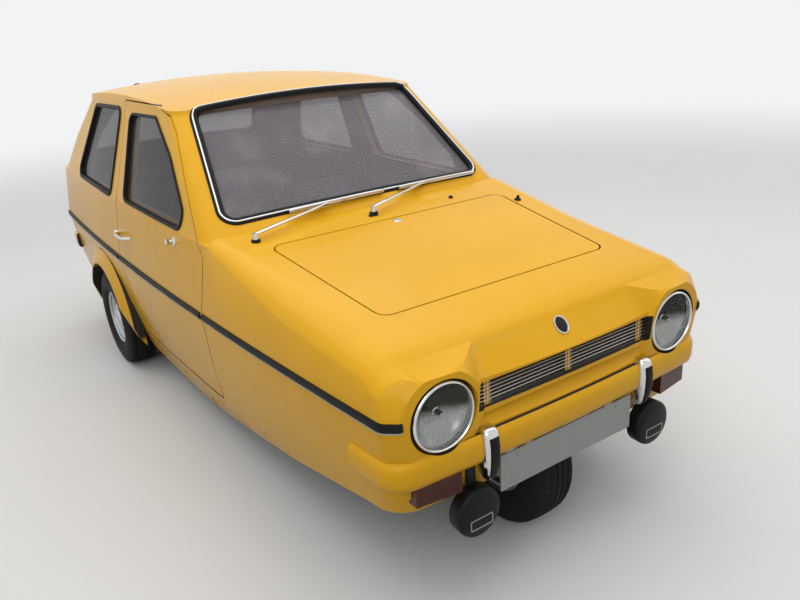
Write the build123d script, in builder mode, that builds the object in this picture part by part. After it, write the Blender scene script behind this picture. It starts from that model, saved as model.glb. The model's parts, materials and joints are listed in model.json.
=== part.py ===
from build123d import *
import os
from math import atan2, cos, radians, sin, tan

os.makedirs("parts", exist_ok=True)

# A small three wheeled car: millimetres, nose towards -Y, the car's left side on +X, ground at Z = 0.

# Overall sizes
LENGTH = 3327.0
HEIGHT = 1372.0
WHEELBASE = 2159.0
FRONT_OVERHANG = 301.5
FRONT_AXLE_Y = -LENGTH / 2 + FRONT_OVERHANG
REAR_AXLE_Y = FRONT_AXLE_Y + WHEELBASE

# Body side: one large plan radius, widest at WIDEST_Y
WIDEST_Y = 350.0
SIDE_RADIUS = 24000.0
NOSE_BOW = 22.0
TAIL_BOW = 26.0
BELT_Z = 910.0

# Body outline levels: height, half width, nose y, tail y, front corner radius, rear corner radius
BODY_LEVELS = [
    (150, 590, -1500, 1575, 160, 110),
    (270, 634, -1580, 1608, 120, 85),
    (420, 665, -1622, 1632, 80, 60),
    (655, 693, -1640, 1642, 58, 52),
    (960, 654, -1640, 1640, 60, 50),
]
# Lower edge of the body seen from the side, rising towards the nose, and the step above it: y, z
LOWER_EDGE = [(-270, 140), (-923, 252), (-1451, 350), (-1700, 366)]
STEP_RISE = 56.0
STEP_DEPTH = 3.0
# Bonnet form: y, top height, half width beyond the side, shoulder radius
NOSE_CREASE = (-1548, 797, 6, 95)
NOSE_CREASE_RADIUS = 110.0
NOSE_CREASE_STEPS = 4
BONNET_FRONT = [(-1700, 640, 2, 50), (-1640, 694, 4, 60)]
BONNET_BACK = [(-1100, 862, 6, 115), (-640, 931, 6, 60)]
BONNET_END_Y = -640.0
SHOULDER_FOOT_Z = 420.0

# Cabin top: height, half width, front y, rear y
CABIN_BASE = (BELT_Z, 659, -668, 1606)
CABIN_MIDDLE = (1100, 602, -450, 1396)
CABIN_RAIL = (1290, 545, -232, 1112)
CABIN_CORNER_FRONT = 95.0
CABIN_CORNER_REAR = 80.0
ROOF_ROLL_HEIGHT = 84.0
ROOF_ROLL_INSET = 62.0
ROOF_CROWN_Y = 520.0
ROOF_LONG_RADIUS = 6500.0
ROOF_CROSS_RADIUS = 4200.0

# Wall thicknesses
SIDE_WALL = 62.0
PILLAR_WALL = 44.0
END_WALL = 30.0
WING_WALL = 16.0
BONNET_WALL = 18.0
ROOF_WALL = 26.0
BULKHEAD_FRONT_Y = -655.0
BULKHEAD_REAR_Y = -630.0
SILL_TOP_Z = 285.0
SHUT_GAP = 5.5
SHUT_TAPER = 12.0

# Panels
QUARTER_START_Y = 398.0
ROOF_SPLIT_Z = 1322.0
TAIL_SPLIT_X = 560.0
NOSE_SPLIT_Y = -1372.0
SCUTTLE_Y = -786.0
SCUTTLE_HALF = 500.0

# Windscreen: half width, y, z at its foot and head
SCREEN_FOOT = (565.0, -597.0, 947.0)
SCREEN_HEAD = (476.0, -193.0, 1298.0)
GLASS_INSET = 9.0
GLASS_THICKNESS = 5.0

# Wheels
TYRE_RADIUS = 243.0
TYRE_HALF_WIDTH = 72.5
RIM_RADIUS = 127.0
RIM_HALF_WIDTH = 52.0
RIM_WALL = 10.0
REAR_TRACK = 1245.0
STUB_RADIUS = 15.0
STUB_CLEARANCE = 0.05
ARCH_RADIUS = 288.0
ARCH_LIP_HALF = 711.0
KINGPIN_X = 55.0
KINGPIN_RADIUS = 9.0
KNUCKLE_RADIUS = 18.0

# Chassis
RAIL_X = 330.0
RAIL_WIDTH = 50.0
RAIL_BOTTOM_Z = 178.0
RAIL_DEPTH = 60.0
KICK_UP = 135.0
FLOOR_Z = 242.0
FLOOR_THICKNESS = 12.0
REAR_FLOOR_Z = 420.0
REAR_FLOOR_Y = 600.0
TUNNEL_HALF = 130.0
TUNNEL_TOP_Z = 470.0

BIG = 4000.0


def side_drop(y):
    """How far the body side has drawn in at y."""
    return (y - WIDEST_Y) ** 2 / (2 * SIDE_RADIUS)


def plan_outline(z, half, nose, tail, front_corner, rear_corner):
    """Body outline at one height: four shallow arcs with rounded corners."""
    nose_end = nose + NOSE_BOW
    tail_end = tail - TAIL_BOW
    nose_half = half - side_drop(nose_end)
    tail_half = half - side_drop(tail_end)
    with BuildSketch(Plane.XY.offset(z)) as outline:
        with BuildLine():
            ThreePointArc((-nose_half, nose_end), (0, nose), (nose_half, nose_end))
            ThreePointArc((nose_half, nose_end), (half, WIDEST_Y), (tail_half, tail_end))
            ThreePointArc((tail_half, tail_end), (0, tail), (-tail_half, tail_end))
            ThreePointArc((-tail_half, tail_end), (-half, WIDEST_Y), (-nose_half, nose_end))
        make_face()
        fillet(outline.vertices().group_by(Axis.Y)[0], front_corner)
        fillet(outline.vertices().group_by(Axis.Y)[-1], rear_corner)
    return outline.sketch


def bonnet_station(y, top_z, beyond, shoulder, inset, drop):
    """Cross-section of the front body: flat foot, leaning sides, round shoulders."""
    strip_z, strip_half = BODY_LEVELS[3][:2]
    belt_z, belt_half = BODY_LEVELS[4][:2]
    lean = (strip_half - belt_half) / (belt_z - strip_z)
    foot = strip_half + beyond - side_drop(y) - inset + lean * (strip_z - SHOULDER_FOOT_Z)
    top_half = foot - lean * (top_z - drop - SHOULDER_FOOT_Z)
    with BuildSketch(Plane.XZ.offset(-y)) as station:
        with BuildLine():
            Polyline((-foot, 100), (foot, 100), (foot, SHOULDER_FOOT_Z), (top_half, top_z - drop),
                     (-top_half, top_z - drop), (-foot, SHOULDER_FOOT_Z), close=True)
        make_face()
        fillet(station.vertices().group_by(Axis.Y)[-1], shoulder)
    return station.sketch


def crease_stations():
    """Stations of an arc that rounds the crease between the bonnet and the nose."""
    y, top_z, beyond, shoulder = NOSE_CREASE
    front_turn = atan2(top_z - BONNET_FRONT[-1][1], y - BONNET_FRONT[-1][0])
    back_turn = atan2(BONNET_BACK[0][1] - top_z, BONNET_BACK[0][0] - y)
    reach = NOSE_CREASE_RADIUS * tan((front_turn - back_turn) / 2)
    start_y, start_z = y - reach * cos(front_turn), top_z - reach * sin(front_turn)
    stations = []
    for step in range(NOSE_CREASE_STEPS + 1):
        turn = front_turn + (back_turn - front_turn) * step / NOSE_CREASE_STEPS
        stations.append((start_y + NOSE_CREASE_RADIUS * (sin(front_turn) - sin(turn)),
                         start_z + NOSE_CREASE_RADIUS * (cos(turn) - cos(front_turn)), beyond, shoulder))
    return stations


def lower_body(inset, nose_inset, tail_inset):
    """Closed form of the body below the belt, drawn in by the wall thickness."""
    outlines = [plan_outline(z, half - inset, nose + nose_inset, tail - tail_inset,
                             front_corner - inset / 2, rear_corner - inset / 2)
                for z, half, nose, tail, front_corner, rear_corner in BODY_LEVELS]
    with BuildPart() as lower:
        loft(outlines, ruled=True)
    return lower.part


def bonnet_form(inset, drop):
    """Closed form under the bonnet and wings."""
    stations = [bonnet_station(y, top_z, beyond, shoulder, inset, drop)
                for y, top_z, beyond, shoulder in BONNET_FRONT + crease_stations() + BONNET_BACK]
    with BuildPart() as form:
        loft(stations, ruled=True)
    return form.part


def roof_cap(drop):
    """Closed form below the roof's crown, curved along and across."""
    with BuildPart() as cap:
        with BuildSketch(Plane.XZ.offset(-ROOF_CROWN_Y)):
            with BuildLine():
                top = ThreePointArc((-800, HEIGHT - drop - 800 ** 2 / (2 * ROOF_CROSS_RADIUS)),
                                    (0, HEIGHT - drop),
                                    (800, HEIGHT - drop - 800 ** 2 / (2 * ROOF_CROSS_RADIUS)))
                Polyline(top @ 1, (800, 500), (-800, 500), top @ 0)
            make_face()
        revolve(axis=Axis((0, ROOF_CROWN_Y, HEIGHT - ROOF_LONG_RADIUS), (1, 0, 0)),
                revolution_arc=26)
    return cap.part.rotate(Axis((0, ROOF_CROWN_Y, HEIGHT - ROOF_LONG_RADIUS), (1, 0, 0)), -13)


def cabin_top(inset, drop):
    """Closed form of the cabin above the belt, with a rolled roof edge."""
    base_z, base_half, base_front, base_rear = CABIN_BASE
    middle_z, middle_half, middle_front, middle_rear = CABIN_MIDDLE
    rail_z, rail_half, rail_front, rail_rear = CABIN_RAIL
    outlines = [plan_outline(z, half - inset, front + 1.3 * inset, rear - 1.3 * inset,
                             CABIN_CORNER_FRONT - inset, CABIN_CORNER_REAR - inset / 2)
                for z, half, front, rear in ((base_z - 0.5 * inset, base_half, base_front, base_rear),
                                             (middle_z, middle_half, middle_front, middle_rear))]
    for step in range(6):
        turn = radians(84 * step / 5)
        roll = ROOF_ROLL_INSET * (1 - cos(turn))
        outlines.append(plan_outline(rail_z + ROOF_ROLL_HEIGHT * sin(turn),
                                     rail_half - inset - roll,
                                     rail_front + 1.3 * inset + 1.5 * roll,
                                     rail_rear - 1.3 * inset - 1.2 * roll,
                                     CABIN_CORNER_FRONT - inset, CABIN_CORNER_REAR - inset / 2))
    with BuildPart() as top:
        loft(outlines, ruled=True)
        add(roof_cap(drop), mode=Mode.INTERSECT)
    return top.part


def block(x0, x1, y0, y1, z0, z1, mode=Mode.ADD):
    """Axis-aligned block between two corners."""
    with Locations(((x0 + x1) / 2, (y0 + y1) / 2, (z0 + z1) / 2)):
        return Box(abs(x1 - x0), abs(y1 - y0), abs(z1 - z0), mode=mode)


def region(x0, x1, y0, y1, z0, z1):
    """Block used to pick out a part of the shell."""
    with BuildPart() as piece:
        block(x0, x1, y0, y1, z0, z1)
    return piece.part


def side_prism(points, radius, x_in, x_out, side, grow=0.0, taper=0.0):
    """Prism through one body side from a side-view outline of (y, z) points."""
    plane = Plane(origin=(side * x_out, 0, 0), x_dir=(0, 1, 0), z_dir=(-side, 0, 0))
    with BuildPart() as prism:
        with BuildSketch(plane) as face:
            with BuildLine():
                Polyline(*[(y, -side * z) for y, z in points], close=True)
            make_face()
            fillet(face.vertices(), radius)
            if grow:
                offset(amount=grow)
        extrude(amount=x_out - x_in, taper=taper)
    return prism.part


def sloping_plane(foot, head):
    """Plane of a raked pane, with its local y running up the pane."""
    run = head[1] - foot[1]
    rise = head[2] - foot[2]
    return Plane(origin=(0, foot[1], foot[2]), x_dir=(1, 0, 0), z_dir=(0, -rise, run))


def pane_prism(foot, head, grow, radius, depth=160.0, taper=0.0):
    """Prism through a raked pane from the half widths of its foot and head."""
    plane = sloping_plane(foot, head)
    length = ((head[1] - foot[1]) ** 2 + (head[2] - foot[2]) ** 2) ** 0.5
    with BuildPart() as prism:
        with BuildSketch(plane.offset(depth / 2)) as face:
            with BuildLine():
                Polyline((-foot[0], 0), (foot[0], 0), (head[0], length), (-head[0], length), close=True)
            make_face()
            fillet(face.vertices(), radius)
            if grow:
                offset(amount=grow)
        extrude(amount=-depth, taper=taper)
    return prism.part


def save(name, piece):
    """Label a finished piece and write it."""
    piece.label = name
    export_step(piece, f"parts/{name}.step")


def both_sides(name, make):
    """Make a piece for each side of the car."""
    for side, word in ((1, "left"), (-1, "right")):
        save(f"{name}_{word}", make(side))


def save_pair(name, make):
    """Write a piece and its mirror twin as one file of two solids."""
    with BuildPart() as pair:
        add(make(1))
        add(make(-1))
    save(name, pair.part)


def under_edge(lift):
    """Everything below the rising lower edge of the body, or below a line above it."""
    with BuildPart() as under:
        with BuildSketch(Plane.YZ.offset(-BIG / 2)):
            with BuildLine():
                Polyline((LOWER_EDGE[0][0], -BIG), *[(y, z + lift) for y, z in LOWER_EDGE],
                         (LOWER_EDGE[-1][0], -BIG), close=True)
            make_face()
        extrude(amount=BIG)
    return under.part


# Whole body, outside and inside
with BuildPart() as outer:
    add(lower_body(0, 0, 0))
    add(region(-BIG, BIG, LOWER_EDGE[0][0], BIG, 0, BIG) + (region(-BIG, BIG, -BIG, LOWER_EDGE[0][0], 0, BIG)
        - under_edge(STEP_RISE)) + lower_body(STEP_DEPTH, STEP_DEPTH, 0), mode=Mode.INTERSECT)
    add(under_edge(0), mode=Mode.SUBTRACT)
    add(region(-BIG, BIG, BONNET_END_Y, BIG, 0, BELT_Z) + bonnet_form(0, 0), mode=Mode.INTERSECT)
    add(cabin_top(0, 0))

with BuildPart() as engine_bay:
    add(lower_body(WING_WALL, END_WALL, END_WALL))
    add(bonnet_form(WING_WALL, BONNET_WALL), mode=Mode.INTERSECT)
    block(-BIG, BIG, -BIG, BULKHEAD_REAR_Y, 0, BIG, mode=Mode.INTERSECT)

with BuildPart() as cabin_space:
    add(lower_body(SIDE_WALL, END_WALL, END_WALL))
    block(-BIG, BIG, BULKHEAD_REAR_Y, BIG, 0, BELT_Z, mode=Mode.INTERSECT)
    add(cabin_top(PILLAR_WALL, ROOF_WALL))

with BuildPart() as shell:
    add(outer.part)
    add(engine_bay.part, mode=Mode.SUBTRACT)
    add(cabin_space.part, mode=Mode.SUBTRACT)

# Side openings, drawn 720 out from the middle so that the tapered edges meet the skin
DOOR_PLANE_X = 720.0
# Front view of the arch lip, which fades out towards its ends: x, z
ARCH_LIP_FRONT = [(0, 196), (642, 196), (668, 240), (ARCH_LIP_HALF, 370), (ARCH_LIP_HALF, 800), (0, 800)]
DOOR_DEPTH_X = 480.0
DOOR_DEPTH = [(598, 0), (598, 900), (486, 1285), (486, 1450), (BIG, 1450), (BIG, 0)]
DOOR_OUTLINE = [(-530, 274), (-572, 600), (-618, 868), (-254, 1257), (-180, 1318), (-30, 1355),
                (429, 1355), (402, 905), (400, 620), (404, 274)]
DOOR_WINDOW = [(-22, 1274), (308, 1269), (280, 925), (-392, 920), (-412, 982), (-225, 1150)]
WING_END_Y = -480.0
QUARTER_WINDOW = [(452, 1285), (905, 1277), (1172, 921), (486, 914)]
LID_REAR = (484.0, -793.0)
LID_FRONT = (435.0, -1366.0)
HATCH_FOOT = (555.0, 1545.0, 935.0)
HATCH_HEAD = (455.0, 1107.0, 1281.0)
HATCH_FRAME = 52.0
COWL_Z = 933.0
HEADER_HALF = 440.0
HEADER_Z = 1268.0
BULKHEAD_HALF = 618.0
HINGE_POST_Y = -676.0


def door_prism(side, grow):
    """Tapered prism round one door, or round its opening, no deeper than the door."""
    with BuildPart() as prism:
        add(side_prism(DOOR_OUTLINE, 28, DOOR_DEPTH_X, DOOR_PLANE_X, side, grow, SHUT_TAPER))
        with BuildSketch(Plane.XZ.offset(-BIG / 2)):
            with BuildLine():
                Polyline(*[(side * (x - grow), z) for x, z in DOOR_DEPTH], close=True)
            make_face()
        extrude(amount=BIG, mode=Mode.INTERSECT)
    return prism.part


def lid_prism(grow):
    """Upright prism round the bonnet lid, or round its opening."""
    with BuildPart() as prism:
        with BuildSketch(Plane.XY.offset(700)) as face:
            with BuildLine():
                Polyline((-LID_FRONT[0], LID_FRONT[1]), (LID_FRONT[0], LID_FRONT[1]),
                         (LID_REAR[0], LID_REAR[1]), (-LID_REAR[0], LID_REAR[1]), close=True)
            make_face()
            fillet(face.vertices(), 38)
            if grow:
                offset(amount=grow)
        extrude(amount=400)
    return prism.part


def hatch_prism(grow):
    """Prism round the rear hatch, square to its pane."""
    return pane_prism(HATCH_FOOT, HATCH_HEAD, grow, 50, -170)


def wheel_disc(x0, x1, y, radius):
    """Disc across the car on a wheel's axis."""
    with BuildPart() as disc:
        with BuildSketch(Plane.YZ.offset(x0)):
            with Locations((y, TYRE_RADIUS)):
                Circle(radius)
        extrude(amount=x1 - x0)
    return disc.part


door_openings = [door_prism(side, SHUT_GAP) for side in (1, -1)]
screen_opening = pane_prism(SCREEN_FOOT, SCREEN_HEAD, 0, 55)
hatch_opening = hatch_prism(SHUT_GAP)
lid_opening = lid_prism(SHUT_GAP)


def make_door(side):
    """Door with its window frame, as thick as the side wall."""
    with BuildPart() as door:
        add(shell.part)
        add(door_prism(side, 0), mode=Mode.INTERSECT)
        add(side_prism(DOOR_WINDOW, 40, DOOR_DEPTH_X - 40, BIG, side), mode=Mode.SUBTRACT)
    return door.part


def make_wing(side):
    """Front wing with its share of the bonnet surround."""
    with BuildPart() as wing:
        add(shell.part)
        add(region(0, side * BIG, NOSE_SPLIT_Y, WING_END_Y, 0, COWL_Z), mode=Mode.INTERSECT)
        add(region(-BIG, BIG, BULKHEAD_REAR_Y, 0, 0, SILL_TOP_Z), mode=Mode.SUBTRACT)
        add(region(-SCUTTLE_HALF, SCUTTLE_HALF, SCUTTLE_Y, 0, 0, BIG), mode=Mode.SUBTRACT)
        for cut in (*door_openings, lid_opening, screen_opening):
            add(cut, mode=Mode.SUBTRACT)
    return wing.part


def make_sill(side):
    """Sill below the door."""
    with BuildPart() as sill:
        add(shell.part)
        add(region(0, side * BIG, BULKHEAD_REAR_Y, QUARTER_START_Y, 0, SILL_TOP_Z),
            mode=Mode.INTERSECT)
        for cut in door_openings:
            add(cut, mode=Mode.SUBTRACT)
    return sill.part


def make_quarter(side):
    """Rear quarter: pillar, window frame, wheel arch with its lip."""
    with BuildPart() as quarter:
        add(shell.part)
        add(region(0, side * BIG, QUARTER_START_Y, BIG, 0, ROOF_SPLIT_Z), mode=Mode.INTERSECT)
        add(region(-TAIL_SPLIT_X, TAIL_SPLIT_X, 1400, BIG, 0, 960), mode=Mode.SUBTRACT)
        add(region(-HEADER_HALF, HEADER_HALF, 900, BIG, HEADER_Z, BIG), mode=Mode.SUBTRACT)
        lip = [(640, ARCH_RADIUS - 2), (ARCH_LIP_HALF, ARCH_RADIUS - 2), (ARCH_LIP_HALF, ARCH_RADIUS + 8),
               (ARCH_LIP_HALF - 10, ARCH_RADIUS + 32), (ARCH_LIP_HALF - 26, ARCH_RADIUS + 72),
               (640, ARCH_RADIUS + 72)]
        with BuildPart(mode=Mode.PRIVATE) as arch_lip:
            with BuildSketch(Plane(origin=(0, REAR_AXLE_Y, TYRE_RADIUS), x_dir=(1, 0, 0),
                                   z_dir=(0, -1, 0))):
                with BuildLine():
                    Polyline(*[(side * x, r) for x, r in lip], close=True)
                make_face()
            revolve(axis=Axis((0, REAR_AXLE_Y, TYRE_RADIUS), (1, 0, 0)))
            with BuildSketch(Plane.XZ.offset(-BIG / 2)):
                with BuildLine():
                    Polyline(*[(side * x, z) for x, z in ARCH_LIP_FRONT], close=True)
                make_face()
            extrude(amount=BIG, mode=Mode.INTERSECT)
        add(arch_lip.part)
        add(wheel_disc(side * 500, side * BIG, REAR_AXLE_Y, ARCH_RADIUS), mode=Mode.SUBTRACT)
        for cut in (*door_openings, hatch_opening,
                    side_prism(QUARTER_WINDOW, 38, 400, BIG, side)):
            add(cut, mode=Mode.SUBTRACT)
    return quarter.part


# Pull handle on each door: path of its grip in plan (x, y), and the lock button
HANDLE_Z = 772.0
HANDLE_PATH = [(670, 368), (703, 352), (703, 248), (672, 214)]
HANDLE_RADIUS = 6.5
BUTTON_Y = 374.0
BUTTON_RADIUS = 13.0
BUTTON_X = 698.0


def make_handle(side):
    """Bowed grip with its button, standing on the door skin."""
    with BuildPart() as handle:
        with BuildLine():
            FilletPolyline(*[(side * x, y, HANDLE_Z) for x, y in HANDLE_PATH], radius=14)
        start, turn = HANDLE_PATH[:2]
        with BuildSketch(Plane(origin=(side * start[0], start[1], HANDLE_Z), x_dir=(0, 0, 1),
                               z_dir=(side * (turn[0] - start[0]), turn[1] - start[1], 0))):
            Circle(HANDLE_RADIUS)
        sweep()
        with BuildSketch(Plane(origin=(side * BUTTON_X, BUTTON_Y, HANDLE_Z), x_dir=(0, 1, 0),
                               z_dir=(-side, 0, 0))):
            Circle(BUTTON_RADIUS)
        extrude(amount=40)
        add(outer.part, mode=Mode.SUBTRACT)
    return handle.part


both_sides("door", make_door)
both_sides("door_handle", make_handle)
both_sides("wing", make_wing)
save_pair("sills", make_sill)
both_sides("quarter", make_quarter)

# Roof with the windscreen pillars and both headers
with BuildPart() as roof_frame:
    add(shell.part)
    add(region(-BIG, BIG, -BIG, QUARTER_START_Y, COWL_Z, BIG) + region(-BIG, BIG, 0, BIG, ROOF_SPLIT_Z, BIG)
        + region(-HEADER_HALF, HEADER_HALF, 900, BIG, HEADER_Z, BIG), mode=Mode.INTERSECT)
    for cut in (*door_openings, screen_opening, hatch_opening):
        add(cut, mode=Mode.SUBTRACT)
save("roof_frame", roof_frame.part)

# Scuttle between the bonnet lid and the windscreen
with BuildPart() as scuttle:
    add(shell.part)
    add(region(-SCUTTLE_HALF, SCUTTLE_HALF, SCUTTLE_Y, -560, 600, COWL_Z), mode=Mode.INTERSECT)
    for cut in (lid_opening, screen_opening):
        add(cut, mode=Mode.SUBTRACT)
save("scuttle", scuttle.part)

# Tail panel below the hatch
with BuildPart() as tail_panel:
    add(shell.part)
    add(region(-TAIL_SPLIT_X, TAIL_SPLIT_X, 1400, BIG, 0, 960), mode=Mode.INTERSECT)
    add(hatch_opening, mode=Mode.SUBTRACT)
    block(183, 247, 1400, BIG, 0, 294, mode=Mode.SUBTRACT)
save("tail_panel", tail_panel.part)

# Bonnet lid
with BuildPart() as bonnet_lid:
    add(shell.part)
    add(lid_prism(0), mode=Mode.INTERSECT)
save("bonnet_lid", bonnet_lid.part)

# Hatch frame
hatch_window = pane_prism((HATCH_FOOT[0] - HATCH_FRAME, HATCH_FOOT[1] - 40, HATCH_FOOT[2] + 32),
                          (HATCH_HEAD[0] - HATCH_FRAME, HATCH_HEAD[1] + 40, HATCH_HEAD[2] - 32),
                          0, 45, -170)
with BuildPart() as hatch:
    add(shell.part)
    add(hatch_prism(0), mode=Mode.INTERSECT)
    add(hatch_window, mode=Mode.SUBTRACT)
save("hatch", hatch.part)

# Glass: one thin layer of the cabin form, cut to each opening
with BuildPart() as glass_layer:
    add(cabin_top(GLASS_INSET, GLASS_INSET))
    add(cabin_top(GLASS_INSET + GLASS_THICKNESS, GLASS_INSET + GLASS_THICKNESS), mode=Mode.SUBTRACT)


def make_pane(opening):
    """Pane of the glass layer inside one opening."""
    with BuildPart() as pane:
        add(glass_layer.part)
        add(opening, mode=Mode.INTERSECT)
    return pane.part


save("windscreen", make_pane(screen_opening))
save("hatch_glass", make_pane(hatch_window))
both_sides("door_glass", lambda side: make_pane(side_prism(DOOR_WINDOW, 40, 440, BIG, side)))
save_pair("quarter_glass", lambda side: make_pane(side_prism(QUARTER_WINDOW, 38, 400, BIG, side)))

# Wipers: pivot, where the arm meets the blade, blade from and to
WIPERS = [((-504, -729, 940), (-146, -628, 972), (-330, -632, 966), (70, -622, 969)),
          ((-46, -729, 944), (268, -622, 972), (138, -624, 968), (520, -606, 963))]
WIPER_ARM_WIDTH = 10.0
WIPER_BLADE_WIDTH = 7.0


def bar(start, end, width, height):
    """Straight bar of rectangular section between two points."""
    run = Vector(*end) - Vector(*start)
    across = run.cross(Vector(0, 0, 1))
    with BuildPart() as straight:
        with BuildSketch(Plane(origin=start, x_dir=across, z_dir=run)):
            Rectangle(width, height)
        extrude(amount=run.length)
    return straight.part


with BuildPart() as wipers:
    for pivot, elbow, blade_start, blade_end in WIPERS:
        with BuildSketch(Plane.XY.offset(pivot[2] - 40)):
            with Locations(pivot[:2]):
                Circle(13)
        with BuildSketch(Plane.XY.offset(pivot[2] + 6)):
            with Locations(pivot[:2]):
                Circle(9)
        loft(ruled=True)
        add(bar(pivot, elbow, WIPER_ARM_WIDTH, 5))
        add(bar(blade_start, blade_end, WIPER_BLADE_WIDTH, 9))
    add(outer.part, mode=Mode.SUBTRACT)
save("wipers", wipers.part)

# Bulkhead with its hinge posts
with BuildPart() as bulkhead:
    block(-BULKHEAD_HALF, BULKHEAD_HALF, BULKHEAD_FRONT_Y, BULKHEAD_REAR_Y, FLOOR_Z, COWL_Z)
    for side in (1, -1):
        block(side * 560, side * BULKHEAD_HALF, -705, BULKHEAD_FRONT_Y, FLOOR_Z, COWL_Z)
        block(side * BULKHEAD_HALF, side * 700, -705, HINGE_POST_Y, FLOOR_Z, COWL_Z)
    block(-TUNNEL_HALF, TUNNEL_HALF, -BIG, 0, 0, TUNNEL_TOP_Z, mode=Mode.SUBTRACT)
    add(engine_bay.part, mode=Mode.INTERSECT)
save("bulkhead", bulkhead.part)

# Floor with the tunnel and the raised rear part
with BuildPart() as floor_pan:
    block(-BIG, BIG, BULKHEAD_REAR_Y, REAR_FLOOR_Y, FLOOR_Z, FLOOR_Z + FLOOR_THICKNESS)
    block(-BIG, BIG, REAR_FLOOR_Y - FLOOR_THICKNESS, REAR_FLOOR_Y, FLOOR_Z, REAR_FLOOR_Z)
    block(-BIG, BIG, REAR_FLOOR_Y - FLOOR_THICKNESS, BIG, REAR_FLOOR_Z, REAR_FLOOR_Z + FLOOR_THICKNESS)
    block(-TUNNEL_HALF, TUNNEL_HALF, BULKHEAD_REAR_Y, REAR_FLOOR_Y, FLOOR_Z, TUNNEL_TOP_Z)
    block(-TUNNEL_HALF + FLOOR_THICKNESS, TUNNEL_HALF - FLOOR_THICKNESS, -BIG, REAR_FLOOR_Y,
          0, TUNNEL_TOP_Z - FLOOR_THICKNESS, mode=Mode.SUBTRACT)
    add(cabin_space.part, mode=Mode.INTERSECT)
    for side in (1, -1):
        add(wheel_disc(side * 518, side * BIG, REAR_AXLE_Y, ARCH_RADIUS + 12), mode=Mode.SUBTRACT)
save("floor_pan", floor_pan.part)


def make_wheelhouse(side):
    """Inner skin over a rear wheel, closing the cabin."""
    with BuildPart() as wheelhouse:
        add(wheel_disc(side * 518, side * 700, REAR_AXLE_Y, ARCH_RADIUS + 12))
        add(wheel_disc(side * 530, side * BIG, REAR_AXLE_Y, ARCH_RADIUS), mode=Mode.SUBTRACT)
        block(-BIG, BIG, -BIG, BIG, FLOOR_Z, BIG, mode=Mode.INTERSECT)
        add(cabin_space.part, mode=Mode.INTERSECT)
        block(-BIG, BIG, REAR_AXLE_Y - 60, REAR_AXLE_Y + 60, 0, 330, mode=Mode.SUBTRACT)
    return wheelhouse.part


save_pair("wheelhouses", make_wheelhouse)

# Front end
LAMP_X = 446.0
LAMP_Z = 639.0
LAMP_FACE_Y = -1640.0
LAMP_RING_RADIUS = 102.0
LAMP_GLASS_RADIUS = 88.0
LAMP_CLEARANCE = 2.0
GRILLE_HALF = 338.0
GRILLE_BOTTOM_Z = 613.0
GRILLE_TOP_Z = 690.0
GRILLE_BARS = 5
BUMPER_BOTTOM_Z = 458.0
BUMPER_OUT = 27.0
BUMPER_FACE_Y = 1655.0
# Bumper section: height from its bottom, how far it stands out
BUMPER_SECTION = [(0, -12), (8, -4), (24, 0), (66, 0), (79, -4), (87, -12)]
# Hood round each headlamp: y and radius of its front and back, then its own part of the bonnet form
HOOD_FRONT = (-1654.0, 112.0)
HOOD_BACK = (-1556.0, 215.0)
HOOD_LEAN = 24.0
HOOD_STATIONS = [(-1670, 746, 0, 66), (-1556, 781, 4, 88)]
TROUGH_Y = -1648.0
TROUGH_Z = 574.0
TROUGH_RADIUS = 30.0
TROUGH_HALF = 345.0
GRILLE_FACE_Y = -1622.0
GRILLE_BACK_Y = -1600.0
BUMPER_END_Y = 1445.0
OVERRIDER_X = 309.0
PLATE_HALF = 265.0
PLATE_BOTTOM_Z = 336.0
PLATE_TOP_Z = 449.0
PLATE_Y = -1637.0
WHEEL_GAP_HALF = 240.0
WHEEL_GAP_TOP_Z = 456.0


def bumper_form(end):
    """Body-coloured bumper bar that wraps one end of the car."""
    half = BODY_LEVELS[2][1] + BUMPER_OUT
    nose = -BUMPER_FACE_Y
    with BuildPart() as bar:
        loft([plan_outline(BUMPER_BOTTOM_Z + rise, half + out, nose - out, BUMPER_FACE_Y + out, 78, 72)
              for rise, out in BUMPER_SECTION], ruled=True)
        if end < 0:
            block(-BIG, BIG, -BIG, -BUMPER_END_Y, 0, BIG, mode=Mode.INTERSECT)
        else:
            block(-BIG, BIG, BUMPER_END_Y + 60, BIG, 0, BIG, mode=Mode.INTERSECT)
    return bar.part


def lamp_cylinder(side, radius, y0, y1):
    """Cylinder on a headlamp's axis."""
    with BuildPart() as cylinder:
        with BuildSketch(Plane.XZ.offset(-y0)):
            with Locations((side * LAMP_X, LAMP_Z)):
                Circle(radius)
        extrude(amount=-(y1 - y0))
    return cylinder.part


def lamp_hood(side):
    """Brow round a headlamp: a cone inside the body's sides and top, its front leaning back to the foot."""
    front_y, front_radius = HOOD_FRONT
    back_y, back_radius = HOOD_BACK
    top_form = [bonnet_station(y, top_z, beyond, shoulder, 0, 0) for y, top_z, beyond, shoulder in HOOD_STATIONS]
    with BuildPart() as hood:
        for y, radius in (HOOD_FRONT, HOOD_BACK):
            with BuildSketch(Plane.XZ.offset(-y)):
                with Locations((side * LAMP_X, LAMP_Z)):
                    Circle(radius)
        loft(ruled=True)
        with BuildSketch(Plane.YZ.offset(-BIG / 2)):
            with BuildLine():
                Polyline((front_y, LAMP_Z + front_radius), (front_y + HOOD_LEAN, LAMP_Z - front_radius),
                         (back_y, LAMP_Z - back_radius), (back_y, LAMP_Z + back_radius), close=True)
            make_face()
        extrude(amount=BIG, mode=Mode.INTERSECT)
        add(lower_body(0, front_y - BODY_LEVELS[3][2], 0), mode=Mode.INTERSECT)
        add(loft(top_form, ruled=True, mode=Mode.PRIVATE), mode=Mode.INTERSECT)
    return hood.part


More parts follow.
